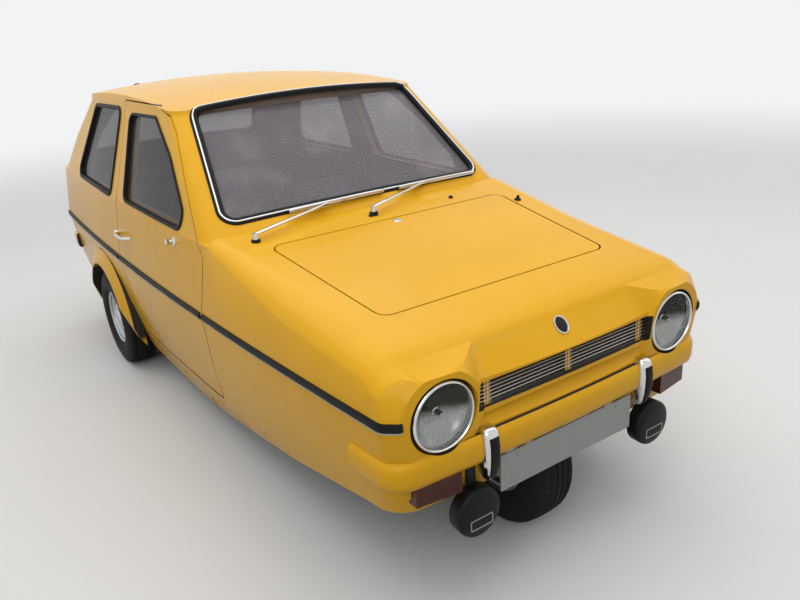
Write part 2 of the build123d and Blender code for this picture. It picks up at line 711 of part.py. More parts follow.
with BuildPart() as trough:
    for x, radius in ((-TROUGH_HALF - TROUGH_RADIUS, 4), (-TROUGH_HALF, TROUGH_RADIUS),
                      (TROUGH_HALF, TROUGH_RADIUS), (TROUGH_HALF + TROUGH_RADIUS, 4)):
        with BuildSketch(Plane.YZ.offset(x)):
            with Locations((TROUGH_Y, TROUGH_Z)):
                Circle(radius)
    loft(ruled=True)

with BuildPart() as nose_panel:
    add(shell.part)
    add(region(-BIG, BIG, -BIG, NOSE_SPLIT_Y, 0, BIG), mode=Mode.INTERSECT)
    add(trough.part, mode=Mode.SUBTRACT)
    with BuildPart(mode=Mode.PRIVATE) as proud_forms:
        add(bumper_form(-1))
        for side in (1, -1):
            add(lamp_hood(side))
        add(engine_bay.part, mode=Mode.SUBTRACT)
    add(proud_forms.part)
    for side in (1, -1):
        add(lamp_cylinder(side, LAMP_RING_RADIUS + LAMP_CLEARANCE, -1700, -1560), mode=Mode.SUBTRACT)
    block(-GRILLE_HALF, GRILLE_HALF, -1700, -1560, GRILLE_BOTTOM_Z, GRILLE_TOP_Z, mode=Mode.SUBTRACT)
    block(-WHEEL_GAP_HALF, WHEEL_GAP_HALF, -1700, NOSE_SPLIT_Y, 0, WHEEL_GAP_TOP_Z, mode=Mode.SUBTRACT)
    add(lid_opening, mode=Mode.SUBTRACT)
save("nose_panel", nose_panel.part)


def make_headlamp(side):
    """Chrome ring and bowl, turned about the lamp's axis."""
    plane = Plane(origin=(side * LAMP_X, 0, LAMP_Z), x_dir=(1, 0, 0), z_dir=(0, 0, 1))
    with BuildPart() as lamp:
        with BuildSketch(plane):
            with BuildLine():
                Polyline((0, -1560), (70, -1560), (LAMP_RING_RADIUS, -1605), (LAMP_RING_RADIUS, -1632),
                         (LAMP_RING_RADIUS - 5, LAMP_FACE_Y), (LAMP_GLASS_RADIUS, LAMP_FACE_Y),
                         (LAMP_GLASS_RADIUS, -1622), (LAMP_GLASS_RADIUS - 8, -1622), (60, -1590),
                         (0, -1575), close=True)
            make_face()
        revolve(axis=Axis((side * LAMP_X, 0, LAMP_Z), (0, 1, 0)))
    return lamp.part


def make_lens(side):
    """Domed lamp glass."""
    plane = Plane(origin=(side * LAMP_X, 0, LAMP_Z), x_dir=(1, 0, 0), z_dir=(0, 0, 1))
    with BuildPart() as lens:
        with BuildSketch(plane):
            with BuildLine():
                Line((0, -1622), (LAMP_GLASS_RADIUS, -1622))
                Line((LAMP_GLASS_RADIUS, -1622), (LAMP_GLASS_RADIUS, -1628))
                TangentArc((0, -1645), (LAMP_GLASS_RADIUS, -1628), tangent=(1, 0))
                Line((0, -1645), (0, -1622))
            make_face()
        revolve(axis=Axis((side * LAMP_X, 0, LAMP_Z), (0, 1, 0)))
    return lens.part


save_pair("headlamps", make_headlamp)
save_pair("headlamp_lenses", make_lens)

# Grille: frame, thin bars, centre and end columns
with BuildPart() as grille:
    block(-GRILLE_HALF, GRILLE_HALF, GRILLE_FACE_Y, GRILLE_BACK_Y, GRILLE_BOTTOM_Z, GRILLE_TOP_Z)
    block(-GRILLE_HALF + 6, GRILLE_HALF - 6, GRILLE_FACE_Y, GRILLE_BACK_Y - 5, GRILLE_BOTTOM_Z + 6,
          GRILLE_TOP_Z - 6, mode=Mode.SUBTRACT)
    pitch = (GRILLE_TOP_Z - GRILLE_BOTTOM_Z - 12) / (GRILLE_BARS + 1)
    for number in range(1, GRILLE_BARS + 1):
        z = GRILLE_BOTTOM_Z + 6 + number * pitch
        block(-GRILLE_HALF + 6, GRILLE_HALF - 6, GRILLE_FACE_Y, GRILLE_BACK_Y - 5, z - 2, z + 2)
    for x, half in ((0, 11), (-GRILLE_HALF + 40, 11), (GRILLE_HALF - 40, 11)):
        block(x - half, x + half, GRILLE_FACE_Y - 2, GRILLE_BACK_Y - 5, GRILLE_BOTTOM_Z + 6, GRILLE_TOP_Z - 6)
save("grille", grille.part)


def end_pieces(x0, x1, y0, y1, z0, z1, radius):
    """Like pieces on both sides of one end, cut where they meet the body."""
    with BuildPart() as pieces:
        for side in (1, -1):
            with BuildPart(mode=Mode.PRIVATE) as piece:
                block(side * x0, side * x1, y0, y1, z0, z1)
                fillet(piece.edges().filter_by(Axis.Z), radius)
            add(piece.part)
        add(outer.part, mode=Mode.SUBTRACT)
        add(bumper_form(-1 if y0 < 0 else 1), mode=Mode.SUBTRACT)
    return pieces.part


# name: rows of x from, x to, y from, y to, z from, z to, corner radius
END_PIECES = {
    "overriders": [(281, 337, -LENGTH / 2, -1625, 396, 557, 9), (281, 337, 1625, LENGTH / 2, 396, 557, 9)],
    "rear_lamps": [(440, 600, 1590, 1656, 590, 720, 8)],
}
for name, rows in END_PIECES.items():
    with BuildPart() as group:
        for row in rows:
            add(end_pieces(*row))
    save(name, group.part)

# Front indicators under the bumper, angled with the corners: x, y
INDICATOR_PLAN = [(403, -1642), (538, -1624), (538, -1540), (403, -1540)]
INDICATOR_BOTTOM_Z = 402.0
with BuildPart() as indicators:
    for side in (1, -1):
        with BuildSketch(Plane.XY.offset(INDICATOR_BOTTOM_Z)):
            with BuildLine():
                Polyline(*[(side * x, y) for x, y in INDICATOR_PLAN], close=True)
            make_face()
        extrude(amount=BUMPER_BOTTOM_Z + 10 - INDICATOR_BOTTOM_Z)
    add(outer.part, mode=Mode.SUBTRACT)
    add(bumper_form(-1), mode=Mode.SUBTRACT)
save("indicators", indicators.part)

with BuildPart() as tail_bar:
    add(bumper_form(1))
    add(outer.part, mode=Mode.SUBTRACT)
save("rear_bumper", tail_bar.part)

# Number plates, blank, each with two brackets
with BuildPart() as number_plates:
    for y, back, lift in ((PLATE_Y, -1622, 0), (1650, 1600, 262)):
        block(-PLATE_HALF, PLATE_HALF, y, y + (4 if y < 0 else -4), PLATE_BOTTOM_Z + lift,
              PLATE_TOP_Z + lift)
        for x in (-160, 160):
            block(x - 12, x + 12, y, back, PLATE_TOP_Z + lift - 30, PLATE_TOP_Z + lift + 14)
    add(outer.part, mode=Mode.SUBTRACT)
    for end in (1, -1):
        add(bumper_form(end), mode=Mode.SUBTRACT)
save("number_plates", number_plates.part)

# Fog lamp covers on short stalks under the bumper
FOG_X = 357.0
FOG_Z = 320.0
FOG_RADIUS = 72.0
with BuildPart() as fog_lamps:
    for side in (1, -1):
        with BuildSketch(Plane.XZ.offset(1652)):
            with Locations((side * FOG_X, FOG_Z)):
                Circle(FOG_RADIUS)
        extrude(amount=-40)
        block(side * FOG_X - 14, side * FOG_X + 14, -1624, -1614, FOG_Z, BUMPER_BOTTOM_Z + 10)
    add(outer.part, mode=Mode.SUBTRACT)
    add(bumper_form(-1), mode=Mode.SUBTRACT)
save("fog_lamps", fog_lamps.part)

# Wheels: rim with its hub and cap, and tyre, turned about the axle
WHEEL_X = REAR_TRACK / 2
TREAD_HALF = 55.0
BEAD_HALF = 52.0
DISC_OUT = 18.0
CAP_OUT = 44.0
HUB_RADIUS = 30.0
HUB_BACK = -22.0


def turned(points, x, y, face):
    """Closed outline of (across, radius) points turned about a wheel's axis."""
    with BuildPart() as part:
        with BuildSketch(Plane(origin=(x, y, TYRE_RADIUS), x_dir=(1, 0, 0), z_dir=(0, -1, 0))):
            with BuildLine():
                Polyline(*[(face * across, radius) for across, radius in points], close=True)
            make_face()
        revolve(axis=Axis((x, y, TYRE_RADIUS), (1, 0, 0)))
    return part.part


def make_rim(x, y, face):
    """Pressed rim: barrel, disc, hub with a blind bore and a domed cap."""
    bore = STUB_RADIUS + STUB_CLEARANCE
    barrel = RIM_RADIUS - RIM_WALL
    return turned([(-RIM_HALF_WIDTH, barrel), (-RIM_HALF_WIDTH, RIM_RADIUS), (RIM_HALF_WIDTH, RIM_RADIUS),
                   (RIM_HALF_WIDTH, barrel), (DISC_OUT + 8, barrel), (DISC_OUT + 14, 84),
                   (CAP_OUT - 8, 52), (CAP_OUT, 30), (CAP_OUT + 3, 0), (CAP_OUT - 6, 0),
                   (CAP_OUT - 6, bore), (HUB_BACK, bore), (HUB_BACK, HUB_RADIUS), (DISC_OUT, HUB_RADIUS + 6),
                   (DISC_OUT, barrel)], x, y, face)


def make_tyre(x, y):
    """Tyre with rounded walls and a flat tread."""
    with BuildPart() as tyre:
        with BuildSketch(Plane(origin=(x, y, TYRE_RADIUS), x_dir=(1, 0, 0), z_dir=(0, -1, 0))):
            with BuildLine():
                Line((BEAD_HALF, RIM_RADIUS), (-BEAD_HALF, RIM_RADIUS))
                ThreePointArc((-BEAD_HALF, RIM_RADIUS), (-TYRE_HALF_WIDTH, 183), (-TREAD_HALF, 237))
                ThreePointArc((-TREAD_HALF, 237), (0, TYRE_RADIUS), (TREAD_HALF, 237))
                ThreePointArc((TREAD_HALF, 237), (TYRE_HALF_WIDTH, 183), (BEAD_HALF, RIM_RADIUS))
            make_face()
        revolve(axis=Axis((x, y, TYRE_RADIUS), (1, 0, 0)))
    return tyre.part


# name: x, y, side that the cap faces
WHEELS = {
    "front": (0, FRONT_AXLE_Y, -1),
    "rear_left": (WHEEL_X, REAR_AXLE_Y, 1),
    "rear_right": (-WHEEL_X, REAR_AXLE_Y, -1),
}
for name, (x, y, face) in WHEELS.items():
    save(f"rim_{name}", make_rim(x, y, face))
    save(f"tyre_{name}", make_tyre(x, y))

# Steering knuckle: upright boss round the kingpin, with the front stub axle
KNUCKLE_HALF = 55.0
LUG_GAP = 2.0
LUG_THICKNESS = 16.0
with BuildPart() as knuckle:
    with BuildSketch(Plane.XY.offset(TYRE_RADIUS - KNUCKLE_HALF)):
        with Locations((KINGPIN_X, FRONT_AXLE_Y)):
            Circle(KNUCKLE_RADIUS)
    extrude(amount=2 * KNUCKLE_HALF)
    with BuildSketch(Plane.YZ.offset(-(CAP_OUT - 10))):
        with Locations((FRONT_AXLE_Y, TYRE_RADIUS)):
            Circle(STUB_RADIUS)
    extrude(amount=KINGPIN_X + CAP_OUT - 10)
    with BuildSketch(Plane.XY.offset(TYRE_RADIUS - KNUCKLE_HALF)):
        with Locations((KINGPIN_X, FRONT_AXLE_Y)):
            Circle(KINGPIN_RADIUS + STUB_CLEARANCE)
    extrude(amount=2 * KNUCKLE_HALF, mode=Mode.SUBTRACT)
save("knuckle", knuckle.part)

# Swinging arm: two lugs and the kingpin, web, cranked arm and pivot tube
ARM_PIVOT_Y = -945.0
ARM_OUTER_X = 262.0
ARM_INNER_X = 212.0
ARM_BOTTOM_Z = 215.0
ARM_DEPTH = 52.0
WEB_X = 104.0
PIVOT_RADIUS = 26.0
PIVOT_BORE = 12.0
lug_z = TYRE_RADIUS + KNUCKLE_HALF + LUG_GAP
with BuildPart() as front_arm:
    for z in (lug_z, 2 * TYRE_RADIUS - lug_z - LUG_THICKNESS):
        block(KINGPIN_X - 20, WEB_X + 16, FRONT_AXLE_Y - 20, FRONT_AXLE_Y + 20, z, z + LUG_THICKNESS)
    block(WEB_X, WEB_X + 16, FRONT_AXLE_Y - 20, FRONT_AXLE_Y + 20, 2 * TYRE_RADIUS - lug_z, lug_z)
    with BuildSketch(Plane.XY.offset(2 * TYRE_RADIUS - lug_z)):
        with Locations((KINGPIN_X, FRONT_AXLE_Y)):
            Circle(KINGPIN_RADIUS)
    extrude(amount=2 * (lug_z - TYRE_RADIUS))
    with BuildSketch(Plane.XY.offset(ARM_BOTTOM_Z)):
        with BuildLine():
            Polyline((WEB_X, FRONT_AXLE_Y - 20), (190, FRONT_AXLE_Y - 20), (ARM_OUTER_X, FRONT_AXLE_Y + 70),
                     (ARM_OUTER_X, ARM_PIVOT_Y), (ARM_INNER_X, ARM_PIVOT_Y), (ARM_INNER_X, FRONT_AXLE_Y + 100),
                     (165, FRONT_AXLE_Y + 42), (WEB_X, FRONT_AXLE_Y + 20), close=True)
        make_face()
    extrude(amount=ARM_DEPTH)
    with BuildSketch(Plane.YZ.offset(ARM_INNER_X - 24)):
        with Locations((ARM_PIVOT_Y, TYRE_RADIUS)):
            Circle(PIVOT_RADIUS)
    extrude(amount=ARM_OUTER_X - ARM_INNER_X + 48)
    with BuildSketch(Plane.YZ.offset(ARM_INNER_X - 24)):
        with Locations((ARM_PIVOT_Y, TYRE_RADIUS)):
            Circle(PIVOT_BORE)
    extrude(amount=ARM_OUTER_X - ARM_INNER_X + 48, mode=Mode.SUBTRACT)
save("front_arm", front_arm.part)

# Front spring over its damper, standing on the arm
SPRING_X = 237.0
SPRING_Y = FRONT_AXLE_Y + 130.0
SPRING_TOP_Z = 540.0
with BuildPart() as front_spring:
    with BuildSketch(Plane.XY.offset(ARM_BOTTOM_Z + ARM_DEPTH)):
        with Locations((SPRING_X, SPRING_Y)):
            Circle(24)
    extrude(amount=SPRING_TOP_Z - ARM_BOTTOM_Z - ARM_DEPTH)
    for z in (ARM_BOTTOM_Z + ARM_DEPTH + 60, SPRING_TOP_Z - 24):
        with BuildSketch(Plane.XY.offset(z)):
            with Locations((SPRING_X, SPRING_Y)):
                Circle(38)
        extrude(amount=8)
save("front_spring", front_spring.part)

# Chassis: two rails with a rear kick-up, cross members, pivot bracket and spring turret
RAIL_FRONT_Y = -1460.0
RAIL_REAR_Y = 1560.0
FRONT_KICK = 112.0
RAIL_PROFILE = [(RAIL_FRONT_Y, FRONT_KICK), (-1230, 0), (REAR_FLOOR_Y + 2, 0), (REAR_FLOOR_Y + 100, KICK_UP), (RAIL_REAR_Y, KICK_UP)]
CROSS_MEMBERS = [(-900, -850, 0), (-150, -100, 0), (380, 430, 0), (1080, 1120, KICK_UP),
                 (1500, 1540, KICK_UP)]
with BuildPart() as chassis:
    for side in (1, -1):
        with BuildSketch(Plane.YZ.offset(side * RAIL_X - RAIL_WIDTH / 2)):
            with BuildLine():
                lower_edge = [(y, RAIL_BOTTOM_Z + rise) for y, rise in RAIL_PROFILE]
                upper_edge = [(y, RAIL_BOTTOM_Z + rise + RAIL_DEPTH) for y, rise in reversed(RAIL_PROFILE)]
                Polyline(*lower_edge, *upper_edge, close=True)
            make_face()
        extrude(amount=RAIL_WIDTH)
    for y0, y1, rise in CROSS_MEMBERS:
        block(-RAIL_X, RAIL_X, y0, y1, RAIL_BOTTOM_Z + rise, RAIL_BOTTOM_Z + rise + RAIL_DEPTH)
    for x in (ARM_INNER_X - 36, ARM_OUTER_X + 26):
        block(x, x + 10, ARM_PIVOT_Y - 30, -850, RAIL_BOTTOM_Z, TYRE_RADIUS + 30)
    with BuildSketch(Plane.YZ.offset(ARM_INNER_X - 36)):
        with Locations((ARM_PIVOT_Y, TYRE_RADIUS)):
            Circle(PIVOT_BORE)
    extrude(amount=ARM_OUTER_X - ARM_INNER_X + 72)
    block(RAIL_X - RAIL_WIDTH / 2, RAIL_X + RAIL_WIDTH / 2, SPRING_Y - 30, SPRING_Y + 30,
          RAIL_BOTTOM_Z + RAIL_DEPTH, SPRING_TOP_Z + 14)
    block(SPRING_X - 40, RAIL_X + RAIL_WIDTH / 2, SPRING_Y - 30, SPRING_Y + 30, SPRING_TOP_Z,
          SPRING_TOP_Z + 14)
    for x in (-RAIL_X, RAIL_X):
        block(x - 25, x + 25, RAIL_FRONT_Y, RAIL_FRONT_Y + 40, RAIL_BOTTOM_Z + FRONT_KICK, 520)
        block(x - 25, x + 25, -1640, RAIL_FRONT_Y + 40, 480, 520)
    add(nose_panel.part, mode=Mode.SUBTRACT)
save("chassis", chassis.part)

# Engine block and gearbox
with BuildPart() as engine:
    block(-140, 140, -1080, -665, 262, 640)
    fillet(engine.edges().filter_by(Axis.Z), 20)
save("engine", engine.part)

with BuildPart() as gearbox:
    with BuildSketch(Plane.XZ.offset(665)):
        with Locations((0, 340)):
            RectangleRounded(200, 170, 40)
    with BuildSketch(Plane.XZ.offset(200)):
        with Locations((0, 320)):
            RectangleRounded(100, 100, 40)
    loft()
save("gearbox", gearbox.part)

# Rear axle: tubes, differential and stubs, turned about the axle line
DIFF_RADIUS = 92.0
TUBE_RADIUS = 30.0
with BuildPart() as rear_axle:
    with BuildSketch(Plane(origin=(0, REAR_AXLE_Y, TYRE_RADIUS), x_dir=(1, 0, 0), z_dir=(0, -1, 0))):
        with BuildLine():
            stub_end = WHEEL_X + CAP_OUT - 10
            tube_end = WHEEL_X + HUB_BACK - 6
            Polyline((-stub_end, 0), (-stub_end, STUB_RADIUS), (-tube_end, STUB_RADIUS),
                     (-tube_end, TUBE_RADIUS), (-110, TUBE_RADIUS), (-60, DIFF_RADIUS), (60, DIFF_RADIUS),
                     (110, TUBE_RADIUS), (tube_end, TUBE_RADIUS), (tube_end, STUB_RADIUS),
                     (stub_end, STUB_RADIUS), (stub_end, 0), close=True)
        make_face()
    revolve(axis=Axis((0, REAR_AXLE_Y, TYRE_RADIUS), (1, 0, 0)))
save("rear_axle", rear_axle.part)

with BuildPart() as propshaft:
    with BuildSketch(Plane(origin=(0, -200, 320), x_dir=(1, 0, 0),
                           z_dir=(0, REAR_AXLE_Y - DIFF_RADIUS + 200, TYRE_RADIUS - 320))):
        Circle(24)
    extrude(amount=((REAR_AXLE_Y - DIFF_RADIUS + 200) ** 2 + (TYRE_RADIUS - 320) ** 2) ** 0.5 - 4)
    add(rear_axle.part, mode=Mode.SUBTRACT)
    add(gearbox.part, mode=Mode.SUBTRACT)
save("propshaft", propshaft.part)

# Leaf springs, curved under the axle, with their hangers
SPRING_TRACK = 430.0
with BuildPart() as leaf_springs:
    for side in (1, -1):
        for half, drop, thickness in ((470, 0, 8), (330, 8, 8), (200, 16, 8)):
            with BuildSketch(Plane.YZ.offset(side * SPRING_TRACK - 24)):
                with BuildLine():
                    low = TYRE_RADIUS - TUBE_RADIUS - 14 - drop
                    bend = 42 * (half / 470) ** 2
                    leaf = ThreePointArc((REAR_AXLE_Y - half, low + bend), (REAR_AXLE_Y, low),
                                         (REAR_AXLE_Y + half, low + bend))
                    under = ThreePointArc((REAR_AXLE_Y - half, low + bend - thickness),
                                          (REAR_AXLE_Y, low - thickness),
                                          (REAR_AXLE_Y + half, low + bend - thickness))
                    Line(leaf @ 0, under @ 0)
                    Line(leaf @ 1, under @ 1)
                make_face()
            extrude(amount=48)
        block(side * SPRING_TRACK - 30, side * SPRING_TRACK + 30, REAR_AXLE_Y - 30, REAR_AXLE_Y + 30,
              TYRE_RADIUS - TUBE_RADIUS - 15, TYRE_RADIUS)
        for y, z in ((REAR_AXLE_Y - 455, RAIL_BOTTOM_Z + 30), (REAR_AXLE_Y + 455, RAIL_BOTTOM_Z + KICK_UP + 50)):
            block(side * (RAIL_X + RAIL_WIDTH / 2), side * (SPRING_TRACK + 24), y - 20, y + 20, 225, z)
    add(rear_axle.part, mode=Mode.SUBTRACT)
save("leaf_springs", leaf_springs.part)

# Fuel tank and exhaust
with BuildPart() as fuel_tank:
    block(-260, 120, 1150, 1470, 250, REAR_FLOOR_Z - 4)
    fillet(fuel_tank.edges().filter_by(Axis.X), 30)
save("fuel_tank", fuel_tank.part)

with BuildPart() as exhaust:
    with BuildLine() as pipe_path:
        FilletPolyline((142, -830, 330), (215, -830, 330), (215, -700, 155), (215, 610, 155),
                       (215, 700, 322), (215, 890, 322), (215, 980, 262), (215, 1150, 262), radius=30)
    with BuildSketch(Plane(origin=(142, -830, 330), x_dir=(0, 1, 0), z_dir=(1, 0, 0))):
        Circle(19)
    sweep()
    with BuildSketch(Plane.XZ.offset(-1140)):
        with Locations((215, 262)):
            RectangleRounded(120, 110, 40)
    extrude(amount=-330)
    with BuildSketch(Plane.XZ.offset(-1460)):
        with Locations((215, 262)):
            Circle(19)
    extrude(amount=-175)
save("exhaust", exhaust.part)

# Seats
SEAT_X = 322.0
SEAT_HALF = 185.0


def make_seat(side):
    """Front seat: cushion and raked back."""
    with BuildPart() as seat:
        with BuildSketch(Plane.YZ.offset(side * SEAT_X - SEAT_HALF)) as outline:
            with BuildLine():
                Polyline((-190, 330), (330, 300), (345, 420), (430, 860), (350, 875), (255, 440),
                         (-190, 455), close=True)
            make_face()
            fillet(outline.vertices(), 30)
        extrude(amount=2 * SEAT_HALF)
    return seat.part


save_pair("front_seats", make_seat)

with BuildPart() as rear_seat:
    with BuildSketch(Plane.YZ.offset(-500)) as outline:
        with BuildLine():
            Polyline((620, REAR_FLOOR_Z + FLOOR_THICKNESS), (1060, REAR_FLOOR_Z + FLOOR_THICKNESS),
                     (1150, 850), (1080, 865), (1000, 540), (620, 545), close=True)
        make_face()
        fillet(outline.vertices().sort_by(Axis.Y)[-4:], 28)
    extrude(amount=1000)
save("rear_seat", rear_seat.part)

# Dashboard, column and steering wheel on the car's right
DRIVER_X = -300.0
WHEEL_CENTRE = (DRIVER_X, -235.0, 790.0)
WHEEL_TILT = 28.0
WHEEL_RIM = 180.0
steering_plane = Plane(origin=WHEEL_CENTRE, x_dir=(1, 0, 0),
                       z_dir=(0, cos(radians(WHEEL_TILT)), sin(radians(WHEEL_TILT))))
with BuildPart() as steering_wheel:
    with BuildSketch(Plane(origin=steering_plane.origin + steering_plane.y_dir * WHEEL_RIM,
                           x_dir=steering_plane.y_dir, z_dir=(1, 0, 0))):
        Circle(11)
    revolve(axis=Axis(WHEEL_CENTRE, steering_plane.z_dir))
    with BuildSketch(steering_plane.offset(-12)):
        Circle(48)
        Rectangle(2 * WHEEL_RIM - 10, 26)
        with Locations((0, -WHEEL_RIM / 2)):
            Rectangle(30, WHEEL_RIM)
    extrude(amount=14)
    with BuildSketch(steering_plane.offset(-12)):
        Circle(22)
    extrude(amount=-170)
save("steering_wheel", steering_wheel.part)

with BuildPart() as dashboard:
    with BuildSketch(Plane.YZ.offset(-570)) as outline:
        with BuildLine():
            Polyline((BULKHEAD_REAR_Y, 620), (-500, 600), (-400, 650), (-385, 800), (-450, 870),
                     (BULKHEAD_REAR_Y, 885), close=True)
        make_face()
        fillet(outline.vertices().sort_by(Axis.X)[-3:], 22)
    extrude(amount=1140)
    add(steering_wheel.part, mode=Mode.SUBTRACT)
save("dashboard", dashboard.part)
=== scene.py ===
"""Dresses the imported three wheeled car: paint, glass, rubber, lamps, trim, tyres and cabin."""

import json
from math import atan2, cos, pi, radians, sin

import bmesh
import bpy
import numpy as np
from bpy.props import FloatProperty, FloatVectorProperty, IntProperty, PointerProperty
from bpy.types import Operator, Panel, PropertyGroup
from mathutils import Matrix, Vector
from mathutils.bvhtree import BVHTree


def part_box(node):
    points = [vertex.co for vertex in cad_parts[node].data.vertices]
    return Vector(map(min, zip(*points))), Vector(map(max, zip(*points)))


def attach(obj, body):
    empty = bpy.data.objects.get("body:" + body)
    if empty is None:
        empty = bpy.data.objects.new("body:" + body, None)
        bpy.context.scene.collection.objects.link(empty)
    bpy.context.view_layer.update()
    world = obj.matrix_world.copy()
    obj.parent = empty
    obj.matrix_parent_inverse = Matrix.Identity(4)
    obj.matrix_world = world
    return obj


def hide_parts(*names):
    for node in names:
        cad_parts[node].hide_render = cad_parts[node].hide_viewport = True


bl_info = {
    "name": "Three wheeled car",
    "version": (1, 0, 0),
    "blender": (4, 5, 0),
    "location": "View3D > Sidebar > Car",
    "description": "Builds the visible surfaces of a small three wheeled car around its packed frame",
    "category": "Object",
}

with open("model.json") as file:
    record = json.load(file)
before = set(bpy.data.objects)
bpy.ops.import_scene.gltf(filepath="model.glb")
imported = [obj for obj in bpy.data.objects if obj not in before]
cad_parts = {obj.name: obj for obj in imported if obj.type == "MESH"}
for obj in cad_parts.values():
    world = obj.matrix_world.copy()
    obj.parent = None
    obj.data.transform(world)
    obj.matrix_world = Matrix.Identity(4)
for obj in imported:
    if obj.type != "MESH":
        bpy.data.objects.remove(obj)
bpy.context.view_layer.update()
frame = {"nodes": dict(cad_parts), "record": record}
NODES = frame["nodes"]
FRONT_LOW, FRONT_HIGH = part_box("tyre_front")
REAR_LOW, REAR_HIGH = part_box("tyre_rear_left")
WHEEL_RADIUS = (FRONT_HIGH.z - FRONT_LOW.z) / 2
FRONT_AXLE_Y = (FRONT_HIGH.y + FRONT_LOW.y) / 2
REAR_AXLE_Y = (REAR_HIGH.y + REAR_LOW.y) / 2
REAR_WHEEL_X = (REAR_HIGH.x + REAR_LOW.x) / 2
SIDES = ((1, "left"), (-1, "right"))
REARWARD, FORWARD, DOWN = (0.0, 1.0, 0.0), (0.0, -1.0, 0.0), (0.0, 0.0, -1.0)
MERGE_DISTANCE = 2e-5
# Packed slot of each finish whose name isn't its slot's
FINISH_SLOT = {"chrome": "bright_trim", "wheel_silver": "wheel_steel", "reflector": "bright_trim",
               "pale_strip": "bright_trim", "grille_column": "grille_metal",
               "rear_amber_lens": "amber_lens", "door_cover": "cabin_plastic", "carpet": "inner_shell"}


# Arrays and meshes

def stacked(*coordinates):
    """Points from arrays of their coordinates, spread to the shape they share."""
    return np.stack(np.broadcast_arrays(*coordinates), axis=-1)


def circle(steps):
    """Angles once round."""
    return np.linspace(0, 2 * pi, steps, endpoint=False)


def oval(steps, width, height):
    """Ellipse with these half sizes: (width * cos t, height * sin t)."""
    return stacked(width * np.cos(circle(steps)), height * np.sin(circle(steps)))


def unit(vectors):
    """Vectors brought to length one."""
    return vectors / np.linalg.norm(vectors, axis=-1, keepdims=True)


def bent(values, power):
    """Sizes raised to a power, signs kept."""
    return np.sign(values) * np.abs(values) ** power


def grid_quads(rows, columns, wrap_rows=False, wrap_columns=False):
    """Quads that join a grid of points, wrapped round where a direction closes on itself."""
    i, j = np.meshgrid(np.arange(rows if wrap_rows else rows - 1),
                       np.arange(columns if wrap_columns else columns - 1), indexing="ij")
    i, j = i.ravel(), j.ravel()
    i_next, j_next = (i + 1) % rows, (j + 1) % columns
    return np.stack([i * columns + j, i_next * columns + j, i_next * columns + j_next,
                     i * columns + j_next], axis=1)


def add_piece(name, points, faces, finish, body="car", slot=None, smooth=40):
    """Mesh piece from points and faces, doubles merged, normals outwards, riding on a body."""
    mesh = bpy.data.meshes.new(name)
    mesh.from_pydata(np.asarray(points, float).reshape(-1, 3).tolist(), [], faces)
    work = bmesh.new()
    work.from_mesh(mesh)
    bmesh.ops.remove_doubles(work, verts=work.verts, dist=MERGE_DISTANCE)
    bmesh.ops.recalc_face_normals(work, faces=work.faces)
    work.to_mesh(mesh)
    work.free()
    piece = bpy.data.objects.new(name, mesh)
    bpy.context.scene.collection.objects.link(piece)
    mesh.materials.append(finished(finish))
    mesh.shade_smooth()
    mesh.set_sharp_from_angle(angle=radians(smooth))
    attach(piece, body)
    slot = slot or FINISH_SLOT.get(finish, finish)
    return piece


def sheet_piece(name, grid, finish, body="car", thickness=0.0, wrap=(False, False), **look):
    """Piece from a grid of surface points; with a thickness it becomes a closed wall."""
    piece = add_piece(name, grid, grid_quads(*grid.shape[:2], *wrap).tolist(), finish, body, **look)
    if thickness:
        wall = piece.modifiers.new("Wall", "SOLIDIFY")
        wall.thickness = thickness
        wall.offset = -1
    return piece


def ringed_piece(name, grid, finish, body="car", closed=False, **look):
    """Piece from rings stacked along the grid's first direction, with flat ends unless it is closed."""
    rows, columns = grid.shape[:2]
    faces = grid_quads(rows, columns, closed, True).tolist()
    if not closed:
        faces += [list(range(columns)), list(range((rows - 1) * columns, rows * columns))]
    return add_piece(name, grid, faces, finish, body, **look)


def swept_piece(name, path, normals, profile, finish, body="car", closed=False, **look):
    """Profile of (across, out) points carried along a path: path + across * u + out * v."""
    if closed:
        tangent = unit(np.roll(path, -1, axis=0) - np.roll(path, 1, axis=0))
    else:
        tangent = unit(np.gradient(path, axis=0))
    across = unit(np.cross(normals, tangent))
    out = np.cross(tangent, across)
    profile = np.asarray(profile, float)
    grid = path[:, None] + across[:, None] * profile[..., :1] + out[:, None] * profile[..., 1:]
    return ringed_piece(name, grid, finish, body, closed, **look)


def turned_grid(profile, steps, centre=(0, 0, 0), axis="X"):
    """Profile of (along, radius) points turned about X or Y: circles of each radius."""
    along, radius = np.array(profile, float).T
    turn = circle(steps)[:, None]
    first, second = radius * np.cos(turn), radius * np.sin(turn)
    order = {"X": (along, first, second), "Y": (first, along, second)}[axis]
    return stacked(*order) + np.asarray(centre, float)


def lathed(name, profile, centre, steps, finish, closed=False, **look):
    """Piece turned about a line along the car; a closed profile gives a ring."""
    return sheet_piece(name, turned_grid(profile, steps, centre, "Y"), finish, wrap=(True, closed), **look)


def rounded_outline(corners, radius, spacing):
    """Closed outline of a polygon whose corners are arcs, with points about a spacing apart."""
    corners = np.asarray(corners, float)
    points = []
    for index, corner in enumerate(corners):
        back, ahead = unit(corners[index - 1] - corner), unit(corners[(index + 1) % len(corners)] - corner)
        half = np.arccos(np.clip(back @ ahead, -1, 1)) / 2
        start, end = corner + back * radius / np.tan(half), corner + ahead * radius / np.tan(half)
        centre = corner + unit(back + ahead) * radius / np.sin(half)
        a0 = atan2(*(start - centre)[::-1])
        sweep = (atan2(*(end - centre)[::-1]) - a0 + pi) % (2 * pi) - pi
        turn = a0 + sweep * np.linspace(0, 1, max(4, int(abs(sweep) * radius / spacing) + 1))
        points.append(centre + radius * stacked(np.cos(turn), np.sin(turn)))
    return spread_evenly(np.concatenate(points), spacing, True)


